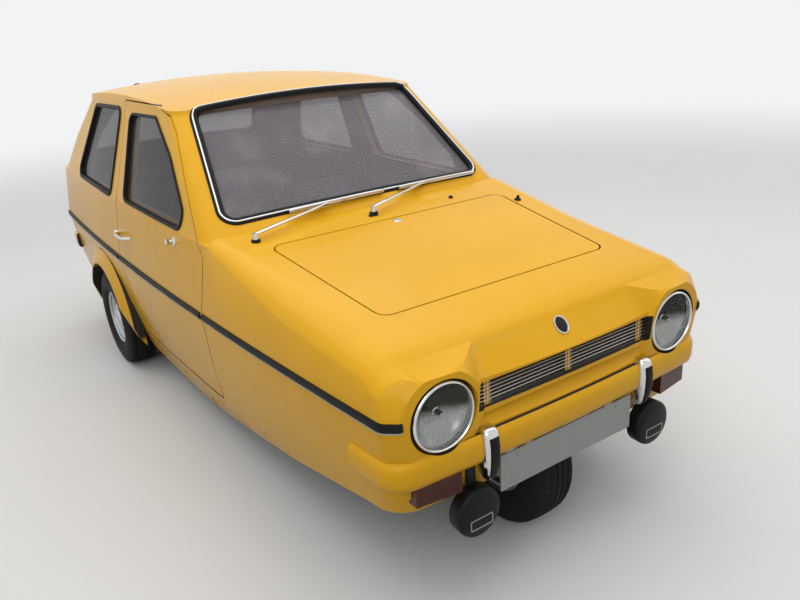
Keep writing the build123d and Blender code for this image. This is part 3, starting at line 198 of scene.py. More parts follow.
def rounded_box(across, up, radius, spacing):
    """Rounded outline of a box, from its limits across and up."""
    corners = [(across[0], up[0]), (across[1], up[0]), (across[1], up[1]), (across[0], up[1])]
    return rounded_outline(corners, radius, spacing)


def spread_evenly(points, spacing, closed):
    """Points resampled along a polyline at an even spacing."""
    points = np.asarray(points, float)
    if closed:
        points = np.concatenate([points, points[:1]])
    along = np.concatenate([[0], np.cumsum(np.linalg.norm(np.diff(points, axis=0), axis=1))])
    count = max(3, int(round(along[-1] / spacing)))
    wanted = np.linspace(0, along[-1], count + 1)
    if closed:
        wanted = wanted[:-1]
    return np.stack([np.interp(wanted, along, points[:, k]) for k in range(points.shape[1])], axis=1)


def grown_outline(outline, distance):
    """Closed flat outline moved outwards along its own normals."""
    ahead = np.roll(outline, -1, axis=0) - np.roll(outline, 1, axis=0)
    normal = unit(stacked(ahead[:, 1], -ahead[:, 0]))
    inward = np.sum((outline - outline.mean(axis=0)) * normal, axis=1).mean() < 0
    return outline + normal * (-distance if inward else distance)


def facing(path, outward):
    """Closed path turned so that it runs anticlockwise seen from outside."""
    turn = np.sum(np.cross(path, np.roll(path, -1, axis=0)), axis=0)
    return path if turn @ np.asarray(outward, float) > 0 else path[::-1]


def flat_frame(name, outline, place, outward, profile, finish):
    """Profile carried round an upright outline whose origin is moved to a place."""
    path = facing(stacked(outline[:, 0] + place[0], place[1], outline[:, 1] + place[2]), outward)
    swept_piece(name, path, outward, profile, finish, closed=True)


def rounded_block(half, power, narrowing=0.0, rows=40, columns=72):
    """Rounded block: each coordinate is half * sign(s) * |s| ** power of a sphere's, narrower towards +y."""
    tilt, turn = np.linspace(-pi / 2, pi / 2, rows)[:, None], circle(columns)
    sphere = stacked(np.cos(tilt) * np.cos(turn), np.cos(tilt) * np.sin(turn), np.sin(tilt))
    block = bent(sphere, power) * np.asarray(half)
    block[:, :, 0] *= 1 - narrowing * np.clip(block[:, :, 1] / half[1], 0, 1) ** 2
    return block


class Skin:
    """The outer surface of some parts, found by casting rays at it."""

    def __init__(self, *names):
        points, faces = [], []
        for name in names:
            mesh = NODES[name].data
            base = len(points)
            points += [v.co.copy() for v in mesh.vertices]
            faces += [[base + i for i in p.vertices] for p in mesh.polygons]
        self.tree = BVHTree.FromPolygons(points, faces)

    def lay(self, starts, directions, smoothing=0):
        """Where rays meet the skin, and the skin's outward normals there."""
        directions = np.broadcast_to(np.asarray(directions, float), np.shape(starts))
        hits = [self.tree.ray_cast(Vector(s), Vector(d)) for s, d in zip(starts, directions)]
        if any(hit[0] is None for hit in hits):
            lost = [tuple(round(float(x), 3) for x in s) for s, h in zip(starts, hits) if h[0] is None]
            raise ValueError(f"{len(lost)} rays miss the skin, such as from {lost[:3]}")
        points = np.array([hit[0] for hit in hits])
        normals = np.array([hit[1] for hit in hits])
        along = np.sum(normals * directions, axis=1, keepdims=True)
        normals = np.where(along > 0, -normals, normals)
        for _ in range(smoothing):
            normals[1:-1] = normals[:-2] + 2 * normals[1:-1] + normals[2:]
            normals = unit(normals)
        return points, normals


def placed(grid, point, normal):
    """Grid whose first coordinate runs along a normal, moved to a point."""
    normal = unit(np.asarray(normal, float))
    side = unit(np.cross((0, 0, 1) if abs(normal[2]) < 0.9 else (0, 1, 0), normal))
    return point + grid[..., :1] * normal + grid[..., 1:2] * side + grid[..., 2:] * np.cross(normal, side)


def boss(name, profile, steps, point, normal, finish, body="car", squash=1.0, **look):
    """Turned piece standing at a point along a normal, squashed sideways."""
    grid = placed(turned_grid(profile, steps) * [1, squash, 1], point, normal)
    return sheet_piece(name, grid, finish, body, wrap=(True, False), **look)


def stud(name, skin, start, direction, profile, finish, body="car", steps=40, **look):
    """Turned piece standing on the skin where a ray meets it."""
    points, normals = skin.lay([start], direction)
    return boss(name, profile, steps, points[0], normals[0], finish, body, smooth=35, **look)


# Shader expressions

def finished(name):
    """The material of a finish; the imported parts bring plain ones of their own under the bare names."""
    return bpy.data.materials[f"finish_{name}"]


class Signal:
    """A socket that takes part in arithmetic; each operation adds a Math node."""

    def __init__(self, graph, socket):
        self.graph = graph
        self.socket = socket

    def maths(self, operation, *inputs):
        """Math node on these inputs."""
        return self.graph.node("ShaderNodeMath", dict(enumerate(inputs)), operation=operation)[0]

    def __add__(self, other):
        return self.maths("ADD", self, other)

    __radd__ = __add__

    def __rsub__(self, other):
        return self.maths("SUBTRACT", other, self)

    def __mul__(self, other):
        return self.maths("MULTIPLY", self, other)

    __rmul__ = __mul__

    def __abs__(self):
        return self.maths("ABSOLUTE", self)

    def wave(self):
        """Sine of the signal."""
        return self.maths("SINE", self)

    def rises(self, low, high):
        """0 below low, 1 above high, smooth between."""
        return self.graph.node("ShaderNodeMapRange", {"Value": self, "From Min": low, "From Max": high},
                               interpolation_type="SMOOTHSTEP")["Result"]


class Outputs:
    """A node's outputs by name or number."""

    def __init__(self, graph, node):
        self.graph = graph
        self.node = node

    def __getitem__(self, key):
        return Signal(self.graph, self.node.outputs[key])


class Graph:
    """A node tree, emptied and built from expressions."""

    def __init__(self, owner):
        owner.use_nodes = True
        self.tree = owner.node_tree
        self.tree.nodes.clear()

    def node(self, kind, values=None, **settings):
        """Node of a kind: its settings first, then the values or links of its sockets."""
        made = self.tree.nodes.new(kind)
        for key, value in settings.items():
            setattr(made, key, value)
        for key, value in (values or {}).items():
            self.feed(made.inputs[key], value)
        return Outputs(self, made)

    def feed(self, socket, value):
        """Link a signal to a socket, or set its value."""
        if isinstance(value, Signal):
            self.tree.links.new(value.socket, socket)
        elif hasattr(socket.default_value, "__len__") and len(socket.default_value) == 4 and len(value) == 3:
            socket.default_value = (*value, 1)
        else:
            socket.default_value = value


class Recipe(Graph):
    """A material with one Principled shader, whose sockets' names are written with underscores."""

    def __init__(self, name, **surface):
        self.material = bpy.data.materials.new(f"finish_{name}")
        super().__init__(self.material)
        self.output = self.node("ShaderNodeOutputMaterial")
        self.surface = self.node("ShaderNodeBsdfPrincipled")
        self.set(**surface)
        self.feed(self.output.node.inputs["Surface"], self.surface[0])
        self.place = self.node("ShaderNodeTexCoord")["Object"]
        split = self.node("ShaderNodeSeparateXYZ", {0: self.place})
        self.x, self.y, self.z = split["X"], split["Y"], split["Z"]

    def set(self, **sockets):
        """Feed the shader's sockets."""
        for key, value in sockets.items():
            self.feed(self.surface.node.inputs[key.replace("_", " ")], value)

    def noise(self, scale, detail=3.0, roughness=0.5):
        """Fractal noise from 0 to 1 over the piece."""
        return self.node("ShaderNodeTexNoise", {"Scale": scale, "Detail": detail, "Roughness": roughness,
                                                "Vector": self.place})[0]

    def cells(self, scale):
        """Distance to the nearest scattered point."""
        return self.node("ShaderNodeTexVoronoi", {"Vector": self.place, "Scale": scale},
                         feature="F1")["Distance"]

    def blend(self, amount, first, second):
        """Mix two colours: the first at 0, the second at 1."""
        made = self.node("ShaderNodeMix", data_type="RGBA").node
        for key, value in (("Factor_Float", amount), ("A_Color", first), ("B_Color", second)):
            self.feed(next(s for s in made.inputs if s.identifier == key), value)
        return Signal(self, next(s for s in made.outputs if s.identifier == "Result_Color"))

    def bump(self, height, strength, distance):
        """Normal from a height signal."""
        return self.node("ShaderNodeBump", {"Height": height, "Strength": strength,
                                            "Distance": distance})["Normal"]


# Finishes

LAMP_Z = 0.639
FLUTE_PITCH = 0.0085
COLUMN_FACE_Y = -1.6265
CABIN_CENTRE = (0.0, 0.35, 0.80)


def scaled(colour, share):
    """Colour times a number."""
    return tuple(channel * share for channel in colour)


def paint_finish(colours):
    """Glossy body paint over moulded panels, darker and rougher in patches low down, and dark where it faces
    the cabin, a lining colour that is also painted cabin shade.
    """
    paint = Recipe("body_paint", Coat_Weight=0.16, Coat_Roughness=0.05, Coat_IOR=1.4,
                   Specular_IOR_Level=0.10)
    cloud = paint.noise(2.3, 4)
    fade = paint.blend(cloud.rises(0.35, 0.7), colours.paint, colours.paint_light)
    # Darker, browner and rougher in noisy patches towards the bottom of the body
    low_darkening = (1 - paint.z.rises(0.16, 0.42)) * paint.noise(14, 6, 0.65).rises(0.42, 0.72)
    darkened_low = paint.blend(low_darkening * 0.25, fade, (0.20, 0.13, 0.06))
    from_cabin = paint.node("ShaderNodeVectorMath", {0: paint.place, 1: CABIN_CENTRE},
                            operation="SUBTRACT")[0]
    outward = paint.node("ShaderNodeVectorMath",
                         {0: from_cabin, 1: paint.node("ShaderNodeTexCoord")["Normal"]},
                         operation="DOT_PRODUCT")["Value"]
    # Faces turned to the cabin take the dark lining colour, partly the lining's own colour and partly
    # painted shade inside the cabin
    inside = 1 - outward.rises(-0.10, -0.04)
    paint.set(Base_Color=paint.blend(inside, darkened_low, colours.lining),
              Roughness=0.22 + paint.noise(60, 3) * 0.06 + low_darkening * 0.3 + inside * 0.5,
              Normal=paint.bump(paint.noise(420, 2) + paint.noise(9, 2) * 6, 0.06, 0.0012))


def pane_finish(name, tint, cover):
    """Window glass as a thin film that covers a share of what is behind it, faintly smeared; its tint is
    painted, dark as shade on the side windows, lighter as reflection on the windscreen.
    """
    pane = Recipe(name, Specular_IOR_Level=0.30, IOR=1.45)
    smear = pane.noise(5.0, 4, 0.6).rises(0.45, 0.85)
    pane.set(Base_Color=pane.blend(smear, tint, scaled(tint, 1.5)), Roughness=0.02 + smear * 0.03,
             Alpha=cover + smear * 0.06)


def lamp_glass_finish():
    """Pressed lamp glass as a clear film with painted light: whiter along its upright flutes and over its
    lower part, dark above.
    """
    film = Recipe("lamp_glass", Specular_IOR_Level=0.2)
    lower = 1 - film.z.rises(LAMP_Z - 0.004, LAMP_Z + 0.020)
    edge = 1 - abs((film.x * (pi / FLUTE_PITCH)).wave()).rises(0.0, 0.45)
    broad = 1 - abs((film.x * (pi / FLUTE_PITCH / 2)).wave()).rises(0.0, 0.25)
    # Painted reflection and glints: dark base colour over the upper part, pale over the lower part, where
    # the fine flutes add pale lines
    film.set(Base_Color=film.blend(lower, (0.07, 0.075, 0.065), (0.48, 0.50, 0.48)),
             Alpha=0.10 + lower * (0.14 + edge * 0.40) + (1 - lower) * broad * 0.18,
             Roughness=0.03 + film.noise(30, 3) * 0.04)


def rubber_finish(name, colour, rough):
    """Moulded rubber or plastic with a fine grain and dusty patches."""
    rubber = Recipe(name, Specular_IOR_Level=0.15)
    dust = rubber.noise(11, 5, 0.6).rises(0.45, 0.8)
    lighter = tuple(min(1.0, channel * 1.8 + 0.006) for channel in colour)
    rubber.set(Base_Color=rubber.blend(dust * 0.4, colour, lighter), Roughness=rough + dust * 0.15,
               Normal=rubber.bump(rubber.noise(700, 3), 0.25, 0.0006))


def metal_finish(name, colour, rough, wear=(0.25, 0.17, 0.1), worn=0.15):
    """Bright or brushed metal with faint pitting and wear."""
    metal = Recipe(name, Metallic=1.0)
    spots = metal.noise(85, 6, 0.7).rises(0.62, 0.78) * worn
    metal.set(Base_Color=metal.blend(spots, colour, wear),
              Roughness=rough + metal.noise(40, 4) * 0.08 + spots * 0.5,
              Normal=metal.bump(metal.noise(260, 4), 0.08, 0.0006))


def dull_finish(name, colour, rough=0.65, scale=60):
    """Matt paint over steel or cast metal, with dirt and chips."""
    dull = Recipe(name, Specular_IOR_Level=0.4)
    dirt = dull.noise(scale, 6, 0.65).rises(0.48, 0.72)
    dull.set(Base_Color=dull.blend(dirt * 0.6, colour, (0.13, 0.10, 0.075)),
             Roughness=rough + dirt * 0.2, Normal=dull.bump(dull.noise(scale * 5, 4), 0.3, 0.001))


def tyre_finish():
    """Black tyre rubber, its black deepened as painted shade, with dusty patches."""
    tyre = Recipe("tyre_rubber", Specular_IOR_Level=0.15)
    dust = tyre.noise(18, 6, 0.7).rises(0.4, 0.75)
    # The base black is made darker still as painted shade of the wheels
    tyre.set(Base_Color=tyre.blend(dust * 0.4, (0.011, 0.011, 0.011), (0.050, 0.046, 0.038)),
             Roughness=0.62 + dust * 0.25, Normal=tyre.bump(tyre.noise(900, 2), 0.35, 0.0005))


def cloth_finish(name, colour):
    """Grained seat cover with a fine leather pebble."""
    cover = Recipe(name, Specular_IOR_Level=0.45, Sheen_Weight=0.15)
    pebble = cover.cells(620)
    fold = cover.noise(22, 4, 0.6)
    cover.set(Base_Color=cover.blend(fold.rises(0.35, 0.75), colour, scaled(colour, 0.72)),
              Roughness=0.42 + pebble * 0.25, Normal=cover.bump(pebble + fold * 2, 0.4, 0.0008))


def lens_finish(name, colour):
    """Coloured lamp lens, ribbed inside."""
    lens = Recipe(name, Coat_Weight=0.15, Coat_Roughness=0.05, Specular_IOR_Level=0.2)
    ribs = (lens.x * 900).wave() * (lens.z * 900).wave()
    lens.set(Base_Color=lens.blend(ribs.rises(-0.6, 0.8), colour, scaled(colour, 0.45)),
             Roughness=0.2 + lens.noise(30, 3) * 0.1, Normal=lens.bump(ribs, 0.5, 0.0012))


def reflector_finish():
    """Silvered lamp bowl with a painted reflection: bright below, dark above, where it mirrors the ground.
    """
    bowl = Recipe("reflector", Metallic=0.85, Specular_IOR_Level=0.5)
    share = (bowl.z + bowl.noise(30, 3) * 0.012).rises(LAMP_Z - 0.022, LAMP_Z + 0.012)
    # Painted reflection: the base colour turns from bright below to dark above the lamp's middle height
    bowl.set(Base_Color=bowl.blend(share, (0.62, 0.63, 0.61), (0.050, 0.054, 0.045)),
             Roughness=0.16 + bowl.noise(60, 3) * 0.08)


def column_finish(colours):
    """Body-coloured column of the grille whose punched holes, set back along Y, are painted black as shade.
    """
    column = Recipe("grille_column", Coat_Weight=0.2, Specular_IOR_Level=0.3)
    hole = column.y.rises(COLUMN_FACE_Y + 0.0006, COLUMN_FACE_Y + 0.0014)
    # Painted shade: faces set back along Y, the holes, are near black
    column.set(Base_Color=column.blend(hole, colours.paint, (0.012, 0.010, 0.008)),
               Roughness=0.4 + column.noise(200, 3) * 0.1 + hole * 0.3)


def plate_finish(name, colour):
    """Reflective plate sheet with a faint cell pattern and road dust."""
    plate = Recipe(name, Coat_Weight=0.3, Coat_Roughness=0.15)
    dust = plate.noise(16, 5, 0.6).rises(0.5, 0.85)
    plate.set(Base_Color=plate.blend(dust * 0.35, colour, scaled(colour, 0.72)),
              Roughness=0.35 + dust * 0.2, Normal=plate.bump(plate.cells(450), 0.1, 0.0003))


def make_finishes(colours):
    """All the finishes, by name."""
    paint_finish(colours)
    # Two copies of one glass: the side windows' dark tint is painted shade, the windscreen's lighter
    # purple-grey tint a painted reflection
    pane_finish("window_glass", (0.052, 0.044, 0.050), 0.48)
    pane_finish("screen_glass", (0.270, 0.245, 0.268), 0.38)
    lamp_glass_finish()
    rubber_finish("black_rubber", (0.007, 0.007, 0.008), 0.48)
    rubber_finish("black_plastic", (0.008, 0.008, 0.009), 0.4)
    rubber_finish("cabin_plastic", (0.016, 0.016, 0.018), 0.55)
    rubber_finish("pale_strip", (0.48, 0.46, 0.38), 0.35)
    metal_finish("chrome", (0.66, 0.66, 0.65), 0.09)
    metal_finish("wheel_silver", (0.46, 0.47, 0.48), 0.30)
    metal_finish("grille_metal", (0.42, 0.40, 0.36), 0.28, (0.1, 0.09, 0.08), 0.4)
    metal_finish("exhaust_steel", (0.32, 0.29, 0.26), 0.45, (0.2, 0.09, 0.04), 0.8)
    dull_finish("chassis_steel", (0.03, 0.03, 0.032))
    dull_finish("inner_shell", (0.055, 0.055, 0.058), 0.7, 25)
    dull_finish("engine_metal", (0.10, 0.10, 0.10), 0.55, 40)
    tyre_finish()
    cloth_finish("seat_cover", (0.200, 0.180, 0.175))
    cloth_finish("door_cover", (0.160, 0.145, 0.145))
    dull_finish("carpet", (0.040, 0.036, 0.034), 0.9, 180)
    lens_finish("amber_lens", (0.085, 0.013, 0.003))
    lens_finish("rear_amber_lens", (0.70, 0.16, 0.010))
    column_finish(colours)
    lens_finish("red_lens", (0.50, 0.012, 0.010))
    # Painted shade: the white of the plates, plate screws and fog labels is given as a grey of 0.31
    plate_finish("plate_white", (0.31, 0.31, 0.305))
    reflector_finish()


SLOT_FINISH = {"bright_trim": "chrome", "wheel_steel": "wheel_silver"}
# The windscreen takes the lighter glass, whose tint is a painted reflection
NODE_FINISH = {"windscreen": "screen_glass"}


# Sizes and colours that a user would change

class CarColours(PropertyGroup):
    """Colours of the car."""

    paint: FloatVectorProperty(name="Paint", description="Body paint, shaded part", subtype="COLOR",
                               default=(0.79, 0.405, 0.012), min=0, max=1)
    paint_light: FloatVectorProperty(name="Paint light", description="Body paint, faded part",
                                     subtype="COLOR", default=(0.84, 0.435, 0.016), min=0, max=1)
    # The lining colour is partly the inner trim's own colour and partly painted shade inside the cabin
    lining: FloatVectorProperty(name="Lining", description="Inner faces of the body", subtype="COLOR",
                                default=(0.035, 0.033, 0.032), min=0, max=1)


class CarView(PropertyGroup):
    """The camera."""

    lens: FloatProperty(name="Lens", description="Focal length in millimetres on a 36 mm sensor",
                        default=33.19, min=10, max=200)
    place: FloatVectorProperty(name="Place", description="Camera position", subtype="TRANSLATION",
                               unit="LENGTH", default=(-1.4005, -2.9256, 1.5654))
    yaw: FloatProperty(name="Yaw", description="Turn towards the car's left", subtype="ANGLE",
                       default=radians(33.28))
    pitch: FloatProperty(name="Pitch", description="Tilt below the horizon", subtype="ANGLE",
                         default=radians(20.82))
    roll: FloatProperty(name="Roll", description="Turn about the view line", subtype="ANGLE",
                        default=radians(-3.89))


FLOOR_CORNERS = [(-30.0, -30.0, 0), (30.0, -30.0, 0), (30.0, 30.0, 0), (-30.0, 30.0, 0)]
BACKDROP = (0.93, 0.94, 0.95, 1)
# Name, place, size and power of each light
LIGHTS = (("overhead", (0, 0.3, 5.0), 7.0, 140), ("key", (-3.5, -4.5, 4.0), 3.0, 62),
          ("fill", (4.5, -2.0, 3.0), 3.5, 20))


class CAR_OT_stage(Operator):
    """Pale floor, soft light and the camera"""

    bl_idname = "car.stage"
    bl_label = "Stage"

    def execute(self, context):
        scene = context.scene
        view = scene.car_view
        forward = np.array([sin(view.yaw) * cos(view.pitch), cos(view.yaw) * cos(view.pitch),
                            -sin(view.pitch)])
        level = np.array([cos(view.yaw), -sin(view.yaw), 0])
        upright = np.cross(level, forward)
        right = level * cos(view.roll) + upright * sin(view.roll)
        up = -level * sin(view.roll) + upright * cos(view.roll)
        data = bpy.data.cameras.new("camera")
        data.sensor_width = 36
        data.lens = view.lens
        camera = bpy.data.objects.new("camera", data)
        turn = Matrix((right, up, -forward)).transposed().to_4x4()
        camera.matrix_world = Matrix.Translation(view.place) @ turn
        scene.collection.objects.link(camera)
        scene.camera = camera
        scene.view_settings.view_transform = "Standard"
        self.floor()
        self.lights(scene)
        return {"FINISHED"}

    def floor(self):
        """Large pale floor under the car, which fades into the background far from it."""
        mesh = bpy.data.meshes.new("floor")
        mesh.from_pydata(FLOOR_CORNERS, [], [(0, 1, 2, 3)])
        floor = bpy.data.objects.new("floor", mesh)
        bpy.context.scene.collection.objects.link(floor)
        pale = Recipe("floor_pale", Roughness=0.9, Specular_IOR_Level=0.1)
        rays = pale.node("ShaderNodeLightPath")
        seen = (rays["Is Camera Ray"] + rays["Is Glossy Ray"] + rays["Is Transmission Ray"]).rises(0.0, 1.0)
        shown = pale.blend(pale.noise(0.8, 4), (0.72, 0.72, 0.71), (0.77, 0.77, 0.76))
        pale.set(Base_Color=pale.blend(seen, (0.26, 0.27, 0.22), shown))
        away = pale.node("ShaderNodeVectorMath", {0: pale.place}, operation="LENGTH")["Value"]
        glow = pale.node("ShaderNodeEmission", {"Color": BACKDROP, "Strength": 0.95})
        fade = pale.node("ShaderNodeMixShader", {0: away.rises(3.0, 11.0), 1: pale.surface[0], 2: glow[0]})
        pale.feed(pale.output.node.inputs["Surface"], fade[0])
        mesh.materials.append(pale.material)

    def lights(self, scene):
        """Wide overhead light, a key, a fill and a sky that is brighter above."""
        for name, place, size, power in LIGHTS:
            data = bpy.data.lights.new(name, "AREA")
            data.size = size
            data.energy = power
            lamp = bpy.data.objects.new(name, data)
            lamp.location = place
            lamp.rotation_euler = (Vector((0, 0, 0.6)) - Vector(place)).to_track_quat("-Z", "Y").to_euler()
            scene.collection.objects.link(lamp)
        world = bpy.data.worlds.new("studio")
        sky = Graph(world)
        place = sky.node("ShaderNodeTexCoord")["Generated"]
        light = sky.node("ShaderNodeMapRange", {"Value": sky.node("ShaderNodeSeparateXYZ", {0: place})["Z"],
                                                "From Min": -0.1, "From Max": 0.7, "To Min": 0.16,
                                                "To Max": 0.75})["Result"]
        rays = sky.node("ShaderNodeLightPath")
        shown = rays["Is Camera Ray"]
        for name in ("Is Glossy Ray", "Is Transmission Ray"):
            shown = shown.maths("MAXIMUM", shown, rays[name])
        strength = sky.node("ShaderNodeMapRange", {"Value": shown, "To Min": light, "To Max": 0.95})
        back = sky.node("ShaderNodeBackground", {"Color": BACKDROP, "Strength": strength["Result"]})
        sky.node("ShaderNodeOutputWorld", {"Surface": back[0]})
        scene.world = world


class CAR_OT_finishes(Operator):
    """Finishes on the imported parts"""

    bl_idname = "car.finishes"
    bl_label = "Finishes"

    def execute(self, context):
        make_finishes(context.scene.car_colours)
        slots = {row["node"]: row["material_slot"] for row in frame["record"]["subparts"]}
        for name, node in NODES.items():
            slot = slots[name]
            node.data.materials.clear()
            node.data.materials.append(finished(NODE_FINISH.get(name, SLOT_FINISH.get(slot, slot))))
            node.data.shade_smooth()
            node.modifiers.new("Join", "WELD").merge_threshold = MERGE_DISTANCE
            crease = node.modifiers.new("Crease", "EDGE_SPLIT")
            crease.split_angle = radians(40 if slot == "body_paint" else 28)
            crease.use_edge_sharp = False
        return {"FINISHED"}


class CarSizes(PropertyGroup):
    """Sizes of the trim, in metres."""

    seal_width: FloatProperty(name="Seal width", description="Width of the windscreen rubber", unit="LENGTH",
                              default=0.030, min=0.01, max=0.06)
    strip_height: FloatProperty(name="Strip height", description="Height of the black rubbing strip",
                                unit="LENGTH", default=0.024, min=0.01, max=0.06)
    strip_z: FloatProperty(name="Strip level", description="Height of the strip's middle", unit="LENGTH",
                           default=0.655, min=0.4, max=0.8)
    tyre_steps: IntProperty(name="Tyre steps", description="Steps round each tyre", default=240, min=60,
                            max=480)
    tread_depth: FloatProperty(name="Tread depth", description="Depth of the tread grooves", unit="LENGTH",
                               default=0.006, min=0.001, max=0.01)


# Panes: flat outlines as the car's source gives them

SCREEN_FOOT = (0.565, -0.597, 0.947)
SCREEN_HEAD = (0.476, -0.193, 1.298)
SCREEN_CORNER = 0.055
HATCH_FOOT = (0.503, 1.505, 0.967)
HATCH_HEAD = (0.403, 1.147, 1.249)
HATCH_CORNER = 0.045
DOOR_WINDOW = [(-0.022, 1.274), (0.308, 1.269), (0.280, 0.925), (-0.392, 0.920), (-0.412, 0.982),
               (-0.225, 1.150)]
QUARTER_WINDOW = [(0.452, 1.285), (0.905, 1.277), (1.172, 0.921), (0.486, 0.914)]
SIDE_CORNER = 0.039
RAY_REACH = 0.4
SEAL_SPACING = 0.012
SEAL_LAP = 0.006
SIDE_PLANE_X = 0.75
BEAD_HALVES = (0.0035, 0.0022)
BEAD_HEIGHT = 0.0066


def rake(foot, head):
    """Length of a raked pane, and the directions up along it and out of the car."""
    rise = np.array([0, head[1] - foot[1], head[2] - foot[2]])
    length = np.linalg.norm(rise)
    outward = np.cross([1, 0, 0], rise / length)
    return length, rise / length, outward * np.sign(outward[2])


def raked_path(foot, head, corner):
    """Outline of a raked pane in its own plane, and the direction out of the car."""
    length, up, outward = rake(foot, head)
    flat = rounded_outline([(-foot[0], 0), (foot[0], 0), (head[0], length), (-head[0], length)],
                           corner, SEAL_SPACING)
    flat = grown_outline(flat, SEAL_LAP)
    path = np.array([0, foot[1], foot[2]]) + flat[:, :1] * [1, 0, 0] + flat[:, 1:] * up
    return facing(path, outward), outward


def side_path(corners, side):
    """Outline of a side window, seen square from the side."""
    flat = grown_outline(rounded_outline(corners, SIDE_CORNER, SEAL_SPACING), SEAL_LAP)
    return facing(stacked(side * SIDE_PLANE_X, flat[:, 0], flat[:, 1]), (side, 0, 0)), np.array([side, 0, 0])


def pane_seal(name, path, outward, parts, width, body="car", bright=False):
    """Rubber seal that hugs the body and laps over the pane, with an optional bright bead."""
    points, normals = Skin(*parts).lay(path + outward * RAY_REACH, -outward)
    for _ in range(3):
        normals = unit(normals + np.roll(normals, 1, axis=0) + np.roll(normals, -1, axis=0))
    lip = np.linspace(0, pi, 9)
    crown = stacked(width / 2 - width / 2 * np.cos(lip), 0.0015 + 0.0055 * np.sin(lip) ** 0.8)
    foot = [(width, -0.013), (width * 0.45, -0.013), (width * 0.3, -0.002), (0, -0.002)]
    swept_piece(name, points, normals, np.concatenate([crown, foot]), "black_rubber", body, closed=True,
                smooth=50)
    if bright:
        bead = oval(10, *BEAD_HALVES) + [width * 0.42, BEAD_HEIGHT]
        swept_piece(f"{name}_bead", points, normals, bead, "chrome", body, closed=True, smooth=60)


class CAR_OT_seals(Operator):
    """Rubber seals round the windscreen, the side windows and the hatch glass"""

    bl_idname = "car.seals"
    bl_label = "Window seals"

    def execute(self, context):
        width = context.scene.car_sizes.seal_width
        pane_seal("windscreen_seal", *raked_path(SCREEN_FOOT, SCREEN_HEAD, SCREEN_CORNER),
                  ("roof_frame", "scuttle", "wing_left", "wing_right"), width, bright=True)
        pane_seal("hatch_seal", *raked_path(HATCH_FOOT, HATCH_HEAD, HATCH_CORNER), ("hatch",), width * 0.8,
                  "hatch")
        for side, word in SIDES:
            door = f"door_{word}"
            pane_seal(f"door_seal_{word}", *side_path(DOOR_WINDOW, side), (door,), width * 0.42, door)
            pane_seal(f"quarter_seal_{word}", *side_path(QUARTER_WINDOW, side), (f"quarter_{word}",),
                      width * 0.62)
        return {"FINISHED"}


# Rubbing strip: where each body's length of it starts and ends along the car, and the front corner
STRIP_RUNS = {"quarter": (0.415, 1.585), "door": (-0.563, 0.391), "wing": (-1.545, -0.582)}
STRIP_CORNER = (0.545, -1.555)
STRIP_CORNER_TURN = radians(72)
STRIP_SPACING = 0.02
STRIP_RAY_X = 0.9
CORNER_REACH = 0.3
CORNER_STEPS = 16
STRIP_BACK = -0.002


def strip_rays(run, side, level):
    """Ray starts and directions along one body's length of the strip."""
    start, end = STRIP_RUNS[run]
    count = int((end - start) / STRIP_SPACING)
    starts = stacked(side * STRIP_RAY_X, np.linspace(end, start, count), level)
    directions = np.tile([-side, 0.0, 0.0], (count, 1))
    if run == "wing":
        turn = np.linspace(0.04, STRIP_CORNER_TURN, CORNER_STEPS)
        away = stacked(side * np.cos(turn), -np.sin(turn), 0)
        centre = np.array([side * STRIP_CORNER[0], STRIP_CORNER[1], level])
        starts = np.concatenate([starts, centre + away * CORNER_REACH])
        directions = np.concatenate([directions, -away])
    return starts, directions


class CAR_OT_strips(Operator):
    """Black rubbing strip with its pale lower edge along both sides"""

    bl_idname = "car.strips"
    bl_label = "Rubbing strips"

    def execute(self, context):
        sizes = context.scene.car_sizes
        half = sizes.strip_height / 2
        arch = np.linspace(0, pi, 9)
        face = stacked(half * np.cos(arch), 0.0005 + 0.0055 * np.sin(arch) ** 0.6)
        band = np.concatenate([face, [(-half, STRIP_BACK), (half, STRIP_BACK)]])
        edge = np.array([(half, STRIP_BACK), (half, 0.003), (half + 0.004, 0.0025),
                         (half + 0.005, STRIP_BACK)])
        for side, word in SIDES:
            for run in STRIP_RUNS:
                names = [f"{run}_{word}"] + (["nose_panel"] if run == "wing" else [])
                laid = Skin(*names).lay(*strip_rays(run, side, sizes.strip_z), smoothing=2)
                body = f"door_{word}" if run == "door" else "car"
                swept_piece(f"strip_{run}_{word}", *laid, band, "black_rubber", body)
                swept_piece(f"strip_edge_{run}_{word}", *laid, edge * [side, 1], "pale_strip", body)
        return {"FINISHED"}


# Wheels

TYRE_SECTION = [(0.052, 0.127), (0.060, 0.140), (0.0695, 0.160), (0.0725, 0.184), (0.070, 0.206),
                (0.0635, 0.226), (0.057, 0.2365)]
TREAD_HALF = 0.055
TREAD_RIBS = 5
BLOCKS_ROUND = 60
CROWN_RADIUS = 0.2365
CROWN_RISE = 0.0065
WALL_RING_HEIGHT = 0.0012
# Radius and width of each raised ring of the tyre's wall
WALL_RINGS = ((0.206, 0.0022), (0.150, 0.002))
WALL_TOP = 0.232
WHEELS = {"front": ((0.0, FRONT_AXLE_Y), -1, "front_wheel"),
          "rear_left": ((REAR_WHEEL_X, REAR_AXLE_Y), 1, "rear_wheel_left"),
          "rear_right": ((-REAR_WHEEL_X, REAR_AXLE_Y), -1, "rear_wheel_right")}
HUB_CAP = [(0.054, 0.0), (0.054, 0.016), (0.051, 0.028), (0.046, 0.036), (0.0455, 0.040), (0.048, 0.046),
           (0.047, 0.060), (0.043, 0.078), (0.041, 0.086), (0.038, 0.088), (0.037, 0.087)]
RIM_FACE = [(0.0525, 0.128), (0.0565, 0.131), (0.0575, 0.127), (0.052, 0.122), (0.046, 0.117),
            (0.036, 0.113), (0.033, 0.108), (0.036, 0.100), (0.0395, 0.090), (0.0395, 0.080),
            (0.030, 0.080), (0.030, 0.116), (0.046, 0.128)]
SLOTS = 12
SLOT_RADIUS = 0.102
SLOT_HALF = 0.006
SLOT_DEPTH = 0.005


